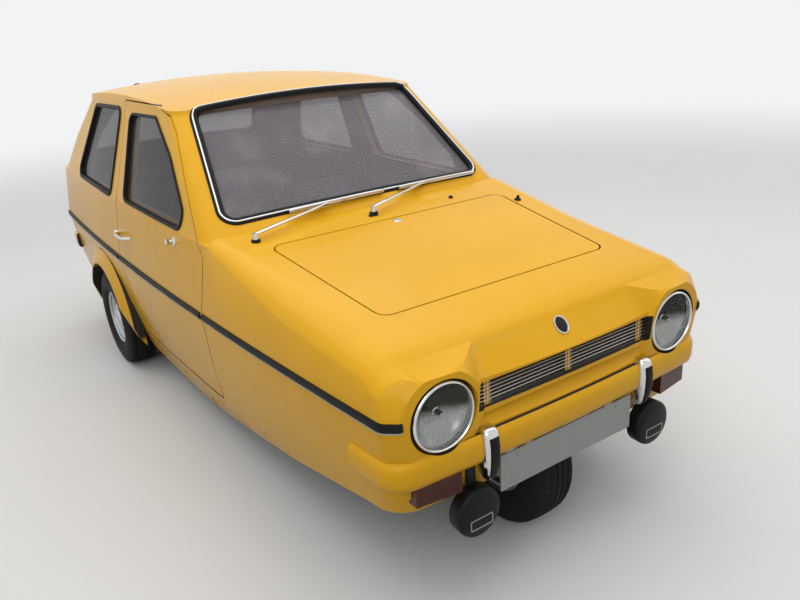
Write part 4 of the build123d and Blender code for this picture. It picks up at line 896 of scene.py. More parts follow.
def tyre_grid(steps, depth):
    """Tyre: a section turned round, whose tread radius drops by a groove function of across and turn."""
    wall = spread_evenly(TYRE_SECTION, 0.006, False)
    across = np.linspace(TREAD_HALF, -TREAD_HALF, 45)
    crown = CROWN_RADIUS + CROWN_RISE * np.sqrt(np.clip(1 - (across / TREAD_HALF) ** 2, 0, 1)) ** 0.8
    left = np.concatenate([wall[:, 0], across, -wall[::-1, 0]])
    radius = np.concatenate([wall[:, 1], crown, wall[::-1, 1]])
    turn = circle(steps)[:, None]
    on_tread = np.clip((TREAD_HALF * 0.97 - np.abs(left)) / 0.002, 0, 1)
    ribs = np.cos(left / TREAD_HALF * pi * TREAD_RIBS * 0.96)
    groove = np.clip((-ribs - 0.72) / 0.2, 0, 1)
    zig = np.sin(left / TREAD_HALF * pi * TREAD_RIBS) * 0.06
    bars = np.cos(BLOCKS_ROUND * (turn + zig))
    sipe = np.clip((bars - 0.62) / 0.25, 0, 1) * np.clip((np.abs(left) - 0.018) / 0.004, 0, 1)
    radial = radius - depth * on_tread * np.maximum(groove, 0.7 * sipe)
    rings = sum(np.exp(-((radius - place) / width) ** 2) for place, width in WALL_RINGS)
    side_out = left + np.sign(left) * WALL_RING_HEIGHT * rings * (radius < WALL_TOP)
    return stacked(side_out, radial * np.cos(turn), radial * np.sin(turn))


class CAR_OT_wheels(Operator):
    """Tyres with tread, rim faces with cooling slots, and domed hub caps"""

    bl_idname = "car.wheels"
    bl_label = "Wheels"

    def execute(self, context):
        sizes = context.scene.car_sizes
        tyre = tyre_grid(sizes.tyre_steps, sizes.tread_depth)
        # The last column is the first again: it closes the tyre's inner side
        tyre = np.concatenate([tyre, tyre[:, :1]], axis=1)
        for name, ((x, y), face, body) in WHEELS.items():
            centre = np.array([x, y, WHEEL_RADIUS])
            piece = sheet_piece(f"tyre_tread_{name}", tyre + centre, "tyre_rubber", body,
                                wrap=(True, False), smooth=50)
            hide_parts(f"tyre_{name}")
            cap = turned_grid(HUB_CAP, 72) * [face, 1, 1] + centre
            sheet_piece(f"hub_cap_{name}", cap, "chrome", body, wrap=(True, False))
            ring = turned_grid(RIM_FACE, 144)
            turn = np.arctan2(ring[:, :, 2], ring[:, :, 1])
            radius = np.hypot(ring[:, :, 1], ring[:, :, 2])
            dent = np.clip((np.cos(turn * SLOTS) - 0.3) / 0.3, 0, 1)
            ring[:, :, 0] -= SLOT_DEPTH * dent * np.exp(-((radius - SLOT_RADIUS) / SLOT_HALF) ** 2)
            sheet_piece(f"rim_face_{name}", ring * [face, 1, 1] + centre, "wheel_silver", body,
                        wrap=(True, True))
        return {"FINISHED"}


# Lamps

LAMP_X = 0.446
RING_SECTION = [(-1.612, 0.0965), (-1.632, 0.0972), (-1.6375, 0.0960), (-1.6405, 0.0935), (-1.6415, 0.0905),
                (-1.6395, 0.0885), (-1.6350, 0.0872), (-1.624, 0.0868), (-1.622, 0.090), (-1.612, 0.093)]
GASKET_SECTION = [(-1.606, 0.1018), (-1.628, 0.1025), (-1.632, 0.1010), (-1.632, 0.0985), (-1.628, 0.0960),
                  (-1.606, 0.0960)]
BOWL_SECTION = [(-1.622, 0.0868), (-1.612, 0.080), (-1.600, 0.068), (-1.589, 0.050), (-1.583, 0.030),
                (-1.581, 0.014), (-1.581, 0.0)]
BULB_SECTION = [(-1.582, 0.012), (-1.600, 0.012), (-1.602, 0.009), (-1.618, 0.0085), (-1.624, 0.006),
                (-1.6255, 0.0)]
LENS_RADIUS = 0.0872
LENS_RIM_Y = -1.630
LENS_CROWN = 0.017
# Height above the middle where the fine flutes give way to the broad ones
FLUTE_BREAK = 0.012
FLUTE_DEPTH = 0.0012


def lens_grid(rings=46, steps=128):
    """Lamp glass: a shallow dome, y = crown * (1 - r^2), with upright flutes, finer over its lower part."""
    share = np.linspace(0, 1, rings)[:, None]
    x, z = LENS_RADIUS * share * np.cos(circle(steps)), LENS_RADIUS * share * np.sin(circle(steps))
    inner = np.clip((1 - share) / 0.08, 0, 1)
    lower, upper = (np.clip(way * (FLUTE_BREAK - z) / 0.01, 0, 1) * inner for way in (1, -1))
    flute = lower * np.abs(np.sin(pi * x / FLUTE_PITCH))
    flute = flute + upper * 0.35 * np.abs(np.sin(pi * x / (2 * FLUTE_PITCH)))
    return stacked(x, LENS_RIM_Y - LENS_CROWN * (1 - share ** 2) + FLUTE_DEPTH * flute, z)


class CAR_OT_headlamps(Operator):
    """Headlamps: bright ring in its gasket, reflector, bulb and fluted glass"""

    bl_idname = "car.headlamps"
    bl_label = "Headlamps"

    def execute(self, context):
        for side, word in SIDES:
            centre = (side * LAMP_X, 0, LAMP_Z)
            ring = lathed(f"lamp_ring_{word}", RING_SECTION, centre, 96, "chrome", closed=True, smooth=50)
            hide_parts("headlamps")
            lathed(f"lamp_gasket_{word}", GASKET_SECTION, centre, 96, "black_rubber", closed=True,
                   smooth=50)
            lathed(f"lamp_bowl_{word}", BOWL_SECTION, centre, 72, "reflector", thickness=0.001)
            lathed(f"lamp_bulb_{word}", BULB_SECTION, centre, 24, "chrome")
            lens = sheet_piece(f"lamp_glass_{word}", lens_grid() + np.array(centre), "lamp_glass",
                               thickness=0.003, wrap=(False, True), smooth=60)
            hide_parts("headlamp_lenses")
        return {"FINISHED"}


# Overriders

OVERRIDER_X = (0.281 + 0.337) / 2
OVERRIDER_Z = (0.396, 0.561)
OVERRIDER_BACK_Y = 1.625
# Height share, half width, front: narrow and set back at the foot, rounded over at the top
HORN_SECTION = [(0.00, 0.007, 1.640), (0.05, 0.013, 1.648), (0.16, 0.020, 1.658), (0.32, 0.0255, 1.6655),
                (0.50, 0.0275, 1.6690), (0.70, 0.0275, 1.6690), (0.85, 0.0265, 1.6655),
                (0.93, 0.0245, 1.6600), (0.98, 0.0200, 1.6520), (1.00, 0.0120, 1.6430)]
PAD_SHARE = (0.10, 0.86)
PAD_WIDTH = 0.66
PAD_OUT = 0.0035


def horn_grid(share=(0.0, 1.0), width=1.0, out=0.0):
    """Overrider: square-shouldered section of tabled half width and front, carried up its height."""
    table = np.array(HORN_SECTION)
    level = np.linspace(*share, 48)
    half = np.interp(level, table[:, 0], table[:, 1])[:, None] * width
    front = np.interp(level, table[:, 0], table[:, 2])[:, None] + out
    back = OVERRIDER_BACK_Y + (front - OVERRIDER_BACK_Y) * (0.6 if out else 0.0)
    x = half * bent(np.cos(circle(48)), 0.55)
    y = back + (front - back) * np.clip(bent(np.sin(circle(48)), 0.6), 0, 1)
    return stacked(x, y, OVERRIDER_Z[0] + (OVERRIDER_Z[1] - OVERRIDER_Z[0]) * level[:, None])


class CAR_OT_overriders(Operator):
    """Overriders: bright horn with a black rubber face, front and rear"""

    bl_idname = "car.overriders"
    bl_label = "Overriders"

    def execute(self, context):
        for end, place in ((-1, "front"), (1, "rear")):
            for side, word in SIDES:
                shift, flip = np.array([side * OVERRIDER_X, 0, 0]), np.array([1, end, 1])
                horn = ringed_piece(f"overrider_{place}_{word}", horn_grid() * flip + shift, "chrome",
                                    smooth=60)
                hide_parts("overriders")
                pad = horn_grid(PAD_SHARE, PAD_WIDTH, PAD_OUT)
                ringed_piece(f"overrider_pad_{place}_{word}", pad * flip + shift, "black_rubber", smooth=60)
        return {"FINISHED"}


# Grille

GRILLE_LOW, GRILLE_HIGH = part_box("grille")
COLUMN_X = (-0.298, 0.0, 0.298)
COLUMN_HALF = 0.0125
GRILLE_BARS = 5
BAR_HALVES = (0.0021, 0.0042)
HOLE_ROWS = 6
HOLE_DEPTH = 0.0035
COLUMN_MARGIN = 0.004
BAR_MARGIN = 0.006


def column_grid(x, rows=92, columns=30):
    """Column with two rows of square holes: set back where sin(u) * sin(v) of the pattern is high."""
    u = np.linspace(-1, 1, columns)[None, :]
    v = np.linspace(0, 1, rows)[:, None]
    pattern = np.abs(np.sin(pi * u)) * np.abs(np.sin(pi * HOLE_ROWS * v))
    hole = np.clip((pattern - 0.42) / 0.12, 0, 1)
    z = GRILLE_LOW.z + COLUMN_MARGIN + (GRILLE_HIGH.z - GRILLE_LOW.z - 2 * COLUMN_MARGIN) * v
    y = COLUMN_FACE_Y + HOLE_DEPTH * hole + 0.003 * np.clip(np.abs(u) - 0.9, 0, 1) / 0.1
    return stacked(x + COLUMN_HALF * u, y, z)


class CAR_OT_grille(Operator):
    """Grille: bright rounded bars and punched columns"""

    bl_idname = "car.grille"
    bl_label = "Grille"

    def execute(self, context):
        low, high = GRILLE_LOW, GRILLE_HIGH
        pitch = (high.z - low.z - 2 * BAR_MARGIN) / (GRILLE_BARS + 1)
        for number in range(1, GRILLE_BARS + 1):
            z = low.z + BAR_MARGIN + number * pitch
            path = stacked(np.linspace(low.x + 0.002, high.x - 0.002, 60), low.y + 0.0015, z)
            swept_piece(f"grille_bar_{number}", path, FORWARD, oval(14, *BAR_HALVES), "grille_metal")
        for number, x in enumerate(COLUMN_X, 1):
            sheet_piece(f"grille_column_{number}", column_grid(x), "grille_column", thickness=0.0015,
                        smooth=30)
        return {"FINISHED"}


# Badge, locks, jets and other small fittings

BADGE_PLACE = (0, -2, 0.744)
BADGE_SQUASH = 0.82
BADGE_RIM = [(-0.004, 0.0), (-0.004, 0.029), (0.003, 0.029), (0.0055, 0.0275), (0.0055, 0.0245),
             (0.0035, 0.023), (0.0035, 0.0)]
BADGE_FACE = [(0.0, 0.0), (0.0, 0.0235), (0.0040, 0.0230), (0.0052, 0.0150), (0.0056, 0.0)]
LOCK_SECTION = [(-0.006, 0.0), (-0.006, 0.015), (0.001, 0.015), (0.004, 0.0125), (0.0045, 0.009),
                (0.003, 0.0085), (0.0035, 0.0)]
JET_SECTION = [(-0.004, 0.0), (-0.004, 0.009), (0.002, 0.009), (0.007, 0.006), (0.009, 0.003),
               (0.0095, 0.0)]
MOUNT_SECTION = [(-0.006, 0.0), (-0.006, 0.017), (0.003, 0.017), (0.006, 0.013), (0.010, 0.009),
                 (0.020, 0.008), (0.024, 0.011), (0.031, 0.0115), (0.034, 0.008), (0.035, 0.0)]
AERIAL_SECTION = [(-0.006, 0.0), (-0.006, 0.013), (0.002, 0.013), (0.006, 0.010), (0.008, 0.006),
                  (0.018, 0.005), (0.019, 0.0)]
SCREW_SECTION = [(-0.002, 0.0), (-0.002, 0.007), (0.0015, 0.007), (0.003, 0.005), (0.0034, 0.0)]
# Name, part under it, ray start and direction, section, finish and body
FITTINGS = [
    ("bonnet_lock", "bonnet_lid", (-0.008, -0.822, 1.2), DOWN, LOCK_SECTION, "chrome", "bonnet_lid"),
    ("washer_jet_right", "scuttle", (-0.062, -0.735, 1.2), DOWN, JET_SECTION, "black_plastic", "car"),
    ("washer_jet_left", "scuttle", (0.30, -0.735, 1.2), DOWN, JET_SECTION, "black_plastic", "car"),
    ("aerial_base", "wing_left", (0.505, -0.885, 1.3), DOWN, AERIAL_SECTION, "black_rubber", "car"),
]
# Ray start's y and z, direction and place of each plate's screws
SCREW_ROWS = ((-2, 0.432, REARWARD, "front"), (2, 0.694, FORWARD, "rear"))


class CAR_OT_fittings(Operator):
    """Blank badge, bonnet lock, washer jets, aerial base, mirror mounts, hinge caps and plate screws"""

    bl_idname = "car.fittings"
    bl_label = "Small fittings"

    def execute(self, context):
        nose, plate, roof = Skin("nose_panel"), Skin("number_plates"), Skin("roof_frame")
        stud("badge_rim", nose, BADGE_PLACE, REARWARD, BADGE_RIM, "chrome", steps=64, squash=BADGE_SQUASH)
        stud("badge_face", nose, BADGE_PLACE, REARWARD, BADGE_FACE, "cabin_plastic", steps=64,
             squash=BADGE_SQUASH, slot="black_plastic")
        for name, part, *rest in FITTINGS:
            stud(name, Skin(part), *rest)
        for side, word in SIDES:
            stud(f"mirror_mount_{word}", Skin(f"door_{word}"), (side, -0.345, 0.872), (-side, 0, 0),
                 MOUNT_SECTION, "chrome", f"door_{word}")
            stud(f"hatch_hinge_cap_{word}", roof, (side * 0.30, 1.05, 1.6), DOWN, LOCK_SECTION,
                 "black_rubber")
            for y, z, way, place in SCREW_ROWS:
                stud(f"plate_screw_{place}_{word}", plate, (side * 0.20, y, z), way, SCREW_SECTION,
                     "plate_white", steps=20)
        return {"FINISHED"}


# Fog lamp covers

FOG_X = 0.357
FOG_Z = 0.320
COVER_SECTION = [(-1.611, 0.0), (-1.611, 0.068), (-1.616, 0.0725), (-1.646, 0.0735), (-1.653, 0.072),
                 (-1.6575, 0.066), (-1.6605, 0.050), (-1.6625, 0.025), (-1.6630, 0.0)]
LABEL_HALF = (0.037, 0.0150)
LABEL_Z = -0.024
LABEL_Y = -1.6622
LABEL_RIM = [(-0.0016, -0.0030), (0.0016, -0.0030), (0.0016, 0.0008), (-0.0016, 0.0008)]


class CAR_OT_fog_lamps(Operator):
    """Moulded covers over the fog lamps, each with a blank framed label"""

    bl_idname = "car.fog_lamps"
    bl_label = "Fog lamp covers"

    def execute(self, context):
        across, up = ((-half, half) for half in LABEL_HALF)
        for side, word in SIDES:
            lathed(f"fog_cover_{word}", COVER_SECTION, (side * FOG_X, 0, FOG_Z), 96, "black_plastic",
                   smooth=45)
            flat_frame(f"fog_label_{word}", rounded_box(across, up, 0.003, 0.002),
                       (side * FOG_X, LABEL_Y, FOG_Z + LABEL_Z), FORWARD, LABEL_RIM, "plate_white")
        return {"FINISHED"}


# Seats: rounded blocks blown up as cloth, then sewn

SEAT_X = 0.322
VOXEL = 0.0065
BENCH_VOXEL = 0.008
TRAVEL_CAP = 0.024
SEAM_WIDTH = 0.0045
SEAM_DEPTH = 0.006
BORDER_FADE = 0.006
WAIST_WIDTH = 0.004
WAIST_SHARE = 0.35
CLOTH_FRAMES = 20
CLOTH_PRESSURE = 4
SEAT_CHANNELS = (-0.084, -0.042, 0.0, 0.042, 0.084)
BENCH_CHANNELS = (-0.36, -0.30, -0.24, -0.18, -0.12, 0.12, 0.18, 0.24, 0.30, 0.36)
# Half sizes, roundness, narrowing at the top, tilt from level, centre, channels, border half sizes, voxel
SEAT_PADS = {
    "seat_cushion": ((0.172, 0.210, 0.046), 0.30, 0.04, -2, (SEAT_X, 0.030, 0.390), SEAT_CHANNELS,
                     (0.122, 0.172), VOXEL),
    "seat_back": ((0.172, 0.212, 0.030), 0.34, 0.16, 77.7, (SEAT_X, 0.343, 0.648), SEAT_CHANNELS,
                  (0.118, 0.172), VOXEL),
    "bench_cushion": ((0.485, 0.176, 0.042), 0.28, 0.0, 0, (0.0, 0.802, 0.487), BENCH_CHANNELS,
                      (0.43, 0.135), BENCH_VOXEL),
    "bench_back": ((0.485, 0.200, 0.027), 0.28, 0.03, 76.2, (0.0, 1.068, 0.655), BENCH_CHANNELS,
                   (0.43, 0.155), BENCH_VOXEL),
}
HINGE_HALVES = (0.030, 0.075)
HINGE_PLACE = (0.183, 0.300, 0.440)
BASE_X = (-0.150, 0.150)
BASE_Y = (-0.165, 0.300)
BASE_FOOT = 0.2545
BASE_HEIGHT = 0.100
BASE_TAPER = 0.06
# Shift along the hinge and size of each of its rings
HINGE_RINGS = ((-0.006, 0.86), (-0.004, 1.0), (0.004, 1.0), (0.006, 0.86))


def mesh_points(mesh):
    """All of a mesh's points as one array."""
    points = np.empty(len(mesh.vertices) * 3)
    mesh.vertices.foreach_get("co", points)
    return points.reshape(-1, 3)


def set_points(mesh, points):
    """Write an array of points back to a mesh."""
    mesh.vertices.foreach_set("co", np.asarray(points, float).ravel())
    mesh.update()


def freeze(piece):
    """Apply a piece's modifiers to its mesh."""
    shown = piece.evaluated_get(bpy.context.evaluated_depsgraph_get())
    mesh = bpy.data.meshes.new_from_object(shown)
    piece.modifiers.clear()
    piece.data = mesh
    return mesh


def blow_up(piece):
    """Cloth pressure from inside for some frames, with each point's travel capped."""
    scene = bpy.context.scene
    start = mesh_points(piece.data)
    cloth = piece.modifiers.new("Cloth", "CLOTH")
    cloth.settings.quality = 4
    cloth.settings.use_pressure = True
    cloth.settings.uniform_pressure_force = CLOTH_PRESSURE
    cloth.settings.effector_weights.gravity = 0
    cloth.point_cache.frame_start, cloth.point_cache.frame_end = 1, CLOTH_FRAMES
    for number in range(1, CLOTH_FRAMES + 1):
        scene.frame_set(number)
    swollen = mesh_points(freeze(piece))
    scene.frame_set(1)
    travel = swollen - start
    length = np.linalg.norm(travel, axis=1, keepdims=True)
    set_points(piece.data, start + travel * np.minimum(1, TRAVEL_CAP / np.maximum(length, 1e-9)))


def sewn(points, half, channels, border):
    """Points drawn in along the seams of the upper face: depth * exp(-(distance / width) ** 2)."""
    x, y, z = points.T
    upper = np.clip(z / (0.5 * half[2]), 0, 1)
    within = np.clip((border[1] - np.abs(y)) / BORDER_FADE, 0, 1)
    line = np.exp(-(np.maximum(np.abs(x) - border[0], np.abs(y) - border[1]) / SEAM_WIDTH) ** 2)
    for channel in channels:
        line = np.maximum(line, np.exp(-((x - channel) / SEAM_WIDTH) ** 2) * within)
    waist = np.exp(-(z / WAIST_WIDTH) ** 2) * WAIST_SHARE
    sideways = points * [1, 1, 0] / np.maximum(np.linalg.norm(points[:, :2], axis=1, keepdims=True), 1e-6)
    drawn = points - [0, 0, 1] * (SEAM_DEPTH * line * upper)[:, None]
    return drawn - sideways * (SEAM_DEPTH * waist)[:, None]


class CAR_OT_seats(Operator):
    """Padded front seats and rear bench, with sewn channels, on their bases"""

    bl_idname = "car.seats"
    bl_label = "Seats"

    def execute(self, context):
        for name, (half, power, narrowing, tilt, centre, channels, border, voxel) in SEAT_PADS.items():
            pad = sheet_piece(name, rounded_block(half, power, narrowing), "seat_cover",
                              wrap=(False, True), smooth=180)
            remesh = pad.modifiers.new("Voxels", "REMESH")
            remesh.mode = "VOXEL"
            remesh.voxel_size = voxel
            freeze(pad)
            blow_up(pad)
            pad.modifiers.new("Finer", "SUBSURF").levels = 1
            mesh = freeze(pad)
            mesh.shade_smooth()
            away, rise = radians(tilt), sewn(mesh_points(mesh), half, channels, border)
            axes = np.array([[1, 0, 0], [0, cos(away), sin(away)], [0, -sin(away), cos(away)]])
            set_points(mesh, rise @ axes + np.array(centre))
            self.declare(pad, name)
            if centre[0]:
                twin = bpy.data.objects.new(f"{name}_right", mesh.copy())
                bpy.context.scene.collection.objects.link(twin)
                set_points(twin.data, mesh_points(mesh) - [2 * centre[0], 0, 0])
                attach(twin, "car")
                self.declare(twin, name)
        self.bases()
        return {"FINISHED"}

    def declare(self, pad, name):
        """Hide the imported plain solid that a pad stands for."""
        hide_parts("front_seats" if name.startswith("seat") else "rear_seat")

    def bases(self):
        """Plinths under the front seats, with side hinges of the backs."""
        level = np.linspace(0, 1, 8)[:, None]
        plan = rounded_box(BASE_X, BASE_Y, 0.03, 0.01)
        ring = oval(32, *HINGE_HALVES)
        along, size = np.array(HINGE_RINGS).T[:, :, None]
        for side, word in SIDES:
            taper = 1 - BASE_TAPER * level
            base = stacked(plan[:, 0] * taper + side * SEAT_X, plan[:, 1] * taper,
                           BASE_FOOT + BASE_HEIGHT * level)
            ringed_piece(f"seat_base_{word}", base, "cabin_plastic")
            for edge, place in ((side, "out"), (-side, "in")):
                hinge = stacked(along, ring[:, 0] * size, ring[:, 1] * size)
                hinge += [side * SEAT_X + edge * HINGE_PLACE[0], *HINGE_PLACE[1:]]
                ringed_piece(f"seat_hinge_{word}_{place}", hinge, "cabin_plastic")


# Cabin: dashboard fittings, steering wheel, door linings, shelf

WHEEL_CENTRE = np.array([-0.300, -0.235, 0.790])
WHEEL_TILT = radians(28.0)
WHEEL_RIM = 0.180
GRIP_RADIUS = 0.0135
GRIPS = 18
GRIP_SWELL = 0.07
GAUGE_RIM = [(-0.004, 0.052), (0.006, 0.053), (0.010, 0.051), (0.011, 0.048), (0.009, 0.0455),
             (0.003, 0.044), (-0.004, 0.044)]
GAUGE_FACE = [(0.0035, 0.0445), (0.0040, 0.030), (0.0042, 0.008), (0.008, 0.007), (0.010, 0.004),
              (0.0105, 0.0)]
KNOB_SECTION = [(-0.003, 0.0), (-0.003, 0.011), (0.002, 0.011), (0.003, 0.007), (0.012, 0.0075),
                (0.014, 0.010), (0.022, 0.0105), (0.025, 0.008), (0.026, 0.0)]
HUB_SECTION = [(-0.010, 0.045), (0.006, 0.046), (0.014, 0.040), (0.019, 0.028), (0.021, 0.012),
               (0.0215, 0.0)]
WINDER_SECTION = [(0.009, 0.0), (0.009, 0.022), (0.015, 0.022), (0.019, 0.016), (0.021, 0.0)]
OUTLET_X = (-0.50, 0.50, 0.22)
OUTLET_EDGE = [(-0.004, -0.003), (0.004, -0.003), (0.004, 0.004), (0.002, 0.006), (-0.002, 0.006),
               (-0.004, 0.004)]
DASH_Y = 0.1
OUTLET_Z = 0.745
OUTLET_X_LIMITS = (-0.040, 0.040)
OUTLET_Z_LIMITS = (-0.022, 0.022)
# Name, places across, height, section, finish and steps of the dashboard's studs
DASH_STUDS = (("gauge_rim", (-0.375, -0.225), 0.752, GAUGE_RIM, "chrome", 64),
              ("gauge_face", (-0.375, -0.225), 0.752, GAUGE_FACE, "black_plastic", 64),
              ("dash_knob", (-0.09, -0.03, 0.03, 0.09), 0.735, KNOB_SECTION, "black_plastic", 28))
CARD_Y = (-0.490, 0.345)
CARD_Z = (0.335, 0.850)
SHELF_Y = (1.155, 1.450)
SHELF_Z = 0.858
CARD_SIZE = (0.84, 0.52)
CARD_SEAM_Z = 0.60
CARD_PUFF = 0.008
SHELF_THICKNESS = 0.010
DOOR_RAY_X = 0.25
WINDER_YZ = (-0.12, 0.52)
# Name, y and z on the door, half sizes, roundness, rows and columns, shift inwards and up, finish
DOOR_BLOCKS = (
    ("armrest", (0.10, 0.585), (0.030, 0.125, 0.020), 0.35, (24, 48), (0.026, 0.0), "cabin_plastic"),
    ("winder_arm", WINDER_YZ, (0.004, 0.010, 0.055), 0.5, (20, 32), (0.024, -0.042), "chrome"),
    ("winder_knob", WINDER_YZ, (0.014, 0.011, 0.011), 0.7, (20, 32), (0.038, -0.086), "black_plastic"))


def rim_grid(steps=144, columns=20):
    """Steering wheel rim: a ring with finger grips behind, r = grip * (1 + 0.07 * |cos 18 t|)."""
    turn, around = circle(steps)[:, None], circle(columns)
    thick = GRIP_RADIUS * (1 + GRIP_SWELL * np.abs(np.cos(GRIPS * turn)) * (np.sin(around) < 0))
    radius = WHEEL_RIM + thick * np.cos(around)
    return stacked(thick * np.sin(around), radius * np.cos(turn), radius * np.sin(turn))


class CAR_OT_cabin(Operator):
    """Gauges, knobs, steering wheel rim, door linings, winders and rear shelf"""

    bl_idname = "car.cabin"
    bl_label = "Cabin"

    def execute(self, context):
        self.wheel()
        self.dials()
        for side, word in SIDES:
            self.lining(side, word)
        self.shelf()
        return {"FINISHED"}

    def wheel(self):
        """Grip and hub pad over the wheel's plain ring."""
        to_driver = (0, cos(WHEEL_TILT), sin(WHEEL_TILT))
        sheet_piece("steering_grip", placed(rim_grid(), WHEEL_CENTRE, to_driver), "black_plastic",
                    wrap=(True, True), smooth=60)
        boss("steering_hub", HUB_SECTION, 48, WHEEL_CENTRE, to_driver, "cabin_plastic")

    def dials(self):
        """Two gauges, a row of knobs and three air outlets on the dashboard."""
        dash = Skin("dashboard")
        for name, places, z, section, finish, steps in DASH_STUDS:
            for number, x in enumerate(places, 1):
                stud(f"{name}_{number}", dash, (x, DASH_Y, z), FORWARD, section, finish, steps=steps)
        outline = rounded_box(OUTLET_X_LIMITS, OUTLET_Z_LIMITS, 0.008, 0.005)
        for number, x in enumerate(OUTLET_X, 1):
            path = facing(stacked(outline[:, 0] + x, DASH_Y, outline[:, 1] + OUTLET_Z), REARWARD)
            swept_piece(f"air_outlet_{number}", *dash.lay(path, FORWARD), OUTLET_EDGE, "cabin_plastic",
                        closed=True)

    def lining(self, side, word):
        """Padded panel on the door's inner face with an armrest and a winder."""
        door = f"door_{word}"
        inner = Skin(door)
        u, v = np.meshgrid(np.linspace(0, 1, 60), np.linspace(0, 1, 44), indexing="ij")
        y = CARD_Y[0] + (CARD_Y[1] - CARD_Y[0]) * u
        z = CARD_Z[0] + (CARD_Z[1] - CARD_Z[0]) * v
        points, _ = inner.lay(stacked(side * DOOR_RAY_X, y.ravel(), z.ravel()), (side, 0, 0))
        rim = np.minimum(np.minimum(u, 1 - u) * CARD_SIZE[0], np.minimum(v, 1 - v) * CARD_SIZE[1])
        puff = 0.002 + CARD_PUFF * np.clip(rim / 0.02, 0, 1) ** 0.5
        seam = 0.004 * np.exp(-((z - CARD_SEAM_Z) / 0.005) ** 2)
        puff -= 0.005 * np.exp(-((rim - 0.055) / 0.005) ** 2) + seam
        panel = points.reshape(y.shape + (3,)) - puff[:, :, None] * [side, 0, 0]
        sheet_piece(f"door_lining_{word}", panel, "door_cover", door, thickness=0.0015, smooth=60)
        stud(f"winder_{word}", inner, (side * DOOR_RAY_X, *WINDER_YZ), (side, 0, 0), WINDER_SECTION,
             "chrome", door, steps=32)
        for name, place, half, power, steps, (inward, rise), finish in DOOR_BLOCKS:
            spot = inner.lay([(side * DOOR_RAY_X, *place)], (side, 0, 0))[0][0]
            block = rounded_block(half, power, 0.0, *steps) + spot + [-side * inward, 0, rise]
            sheet_piece(f"{name}_{word}", block, finish, door, wrap=(False, True), smooth=60)

    def shelf(self):
        """Carpeted shelf behind the bench, as wide as the body is there."""
        y = np.linspace(*SHELF_Y, 24)
        reach = Skin("quarter_left").lay(stacked(0.0, y, SHELF_Z), (1, 0, 0))[0][:, 0] - 0.003
        drop = 0.012 * np.exp(-((y - SHELF_Y[0]) / 0.012))[:, None]
        grid = stacked(reach[:, None] * np.linspace(-1, 1, 60), y[:, None], SHELF_Z - drop)
        sheet_piece("rear_shelf", grid, "carpet", thickness=SHELF_THICKNESS, smooth=50)


# Rear lamps and wipers

LAMP_WINDOW_X = (0.4445, 0.5955)
LAMP_FRAME_Z = (0.5925, 0.7175)
LENS_BANDS = (("amber", (0.5935, 0.6330), "rear_amber_lens"), ("red", (0.6355, 0.7165), "red_lens"))
LENS_BACK_Y = 1.6545
BAND_CROWN = 0.0065
BAND_RIBS = 18
BAND_RIB_HEIGHT = 0.0005
FRAME_EDGE = [(-0.004, -0.012), (0.002, -0.012), (0.002, 0.003), (0.0, 0.0045), (-0.003, 0.0045),
              (-0.004, 0.002)]
# Each wiper: pivot, elbow, then blade start and end
WIPERS = [((-0.504, -0.729, 0.940), (-0.146, -0.628, 0.972), (-0.330, -0.632, 0.966),
           (0.070, -0.622, 0.969)),
          ((-0.046, -0.729, 0.944), (0.268, -0.622, 0.972), (0.138, -0.624, 0.968), (0.520, -0.606, 0.963))]
HOLDER_HALVES = (0.0045, 0.0040)
HOLDER_BOW = 0.0045
HOLDER_LIFT = 0.005
BOOT_DROP = 0.030
ARM_HALVES = (0.0085, 0.0085, 0.0065, 0.0050, 0.0045, 0.0040)
PIVOT_SECTION = [(-0.004, 0.0165), (0.010, 0.0160), (0.016, 0.0135), (0.018, 0.0)]
BLADE_SECTION = [(-0.0035, 0.0), (-0.0015, -0.006), (-0.0008, -0.011), (0.0008, -0.011), (0.0015, -0.006),
                 (0.0035, 0.0)]


class CAR_OT_rear_lamps(Operator):
    """Crowned amber and red lenses in bright frames"""

    bl_idname = "car.rear_lamps"
    bl_label = "Rear lamps"

    def execute(self, context):
        u, v = np.meshgrid(np.linspace(-1, 1, 48), np.linspace(-1, 1, 30), indexing="ij")
        crown = BAND_CROWN * (1 - u ** 8) ** 0.5 * (1 - v ** 8) ** 0.5
        ribs = BAND_RIB_HEIGHT * np.abs(np.sin(BAND_RIBS * pi * u)) * (crown > 0.004)
        middle, half = sum(LAMP_WINDOW_X) / 2, (LAMP_WINDOW_X[1] - LAMP_WINDOW_X[0]) / 2
        for side, word in SIDES:
            for band, (low, high), finish in LENS_BANDS:
                grid = stacked(side * (middle + half * u), LENS_BACK_Y + crown + ribs,
                               (low + high) / 2 + (high - low) / 2 * v)
                sheet_piece(f"rear_lens_{band}_{word}", grid, finish, thickness=0.002, smooth=50)
            flat_frame(f"rear_lamp_frame_{word}", rounded_box((-half, half), LAMP_FRAME_Z, 0.006, 0.004),
                       (side * middle, LENS_BACK_Y, 0), REARWARD, FRAME_EDGE, "chrome")
        return {"FINISHED"}


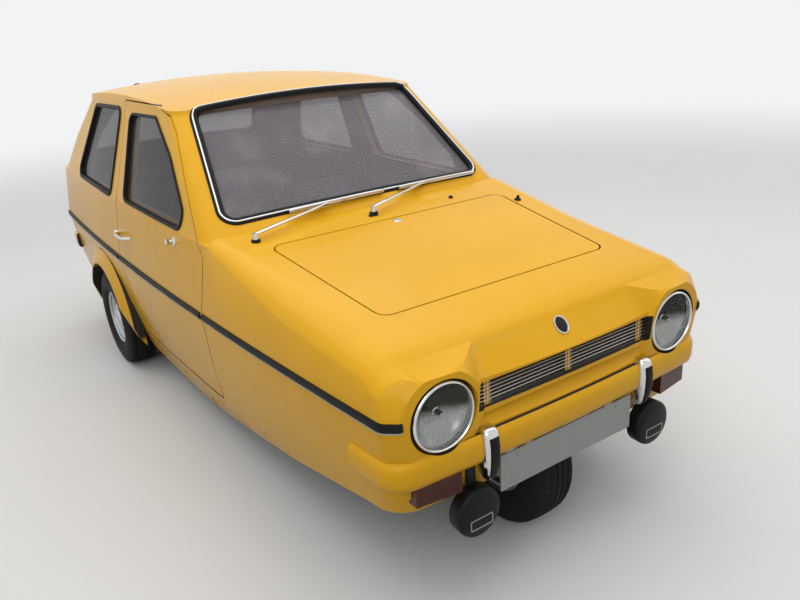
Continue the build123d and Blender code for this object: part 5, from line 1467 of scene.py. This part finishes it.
class CAR_OT_wipers(Operator):
    """Wiper arms, blade holders, their rubbers and dark boots round the pivots"""

    bl_idname = "car.wipers"
    bl_label = "Wipers"

    def execute(self, context):
        off = rake(SCREEN_FOOT, SCREEN_HEAD)[2]
        half = np.interp(np.linspace(0, 1, 48), np.linspace(0, 1, len(ARM_HALVES)), ARM_HALVES)
        arch = oval(14, 1.0, 0.55) + [0, 0.35]
        bow = HOLDER_BOW * (1 - np.linspace(-1, 1, 40) ** 2) ** 0.5 + HOLDER_LIFT
        for number, (pivot, elbow, start, end) in enumerate(WIPERS, 1):
            swept_piece(f"wiper_arm_{number}", np.linspace(pivot, elbow, 48), (0, 0, 1),
                        arch * half[:, None, None], "chrome")
            path = np.linspace(start, end, 40)
            swept_piece(f"wiper_holder_{number}", path + off * bow[:, None], off, oval(14, *HOLDER_HALVES),
                        "chrome")
            swept_piece(f"wiper_rubber_{number}", path - off * 0.002, off, BLADE_SECTION, "black_rubber")
            boss(f"wiper_boot_{number}", PIVOT_SECTION, 32, np.array(pivot) - [0, 0, BOOT_DROP], (0, 0, 1),
                 "black_rubber")
        return {"FINISHED"}


class CAR_PT_panel(Panel):
    """Lists the pieces and the values that may be changed"""

    bl_label = "Three wheeled car"
    bl_idname = "CAR_PT_panel"
    bl_space_type = "VIEW_3D"
    bl_region_type = "UI"
    bl_category = "Car"

    def draw(self, context):
        for name in GROUPS:
            group = getattr(context.scene, name)
            for key in group.__annotations__:
                self.layout.prop(group, key)
        for operator in OPERATORS:
            self.layout.operator(operator.bl_idname)


OPERATORS = (CAR_OT_stage, CAR_OT_finishes, CAR_OT_seals, CAR_OT_strips, CAR_OT_wheels,
             CAR_OT_headlamps, CAR_OT_overriders, CAR_OT_grille, CAR_OT_fittings, CAR_OT_fog_lamps,
             CAR_OT_rear_lamps, CAR_OT_wipers, CAR_OT_cabin, CAR_OT_seats)
GROUPS = {"car_colours": CarColours, "car_view": CarView, "car_sizes": CarSizes}


def register():
    """Register the groups, the operators and the panel."""
    for name, group in GROUPS.items():
        bpy.utils.register_class(group)
        setattr(bpy.types.Scene, name, PointerProperty(type=group))
    for operator in OPERATORS:
        bpy.utils.register_class(operator)
    bpy.utils.register_class(CAR_PT_panel)


def unregister():
    """Undo register."""
    bpy.utils.unregister_class(CAR_PT_panel)
    for operator in reversed(OPERATORS):
        bpy.utils.unregister_class(operator)
    for name, group in GROUPS.items():
        delattr(bpy.types.Scene, name)
        bpy.utils.unregister_class(group)


def main():
    """Register, then build every piece in order."""
    register()
    for operator in OPERATORS:
        group, _, action = operator.bl_idname.partition(".")
        getattr(getattr(bpy.ops, group), action)()


if __name__ == "__main__":
    main()
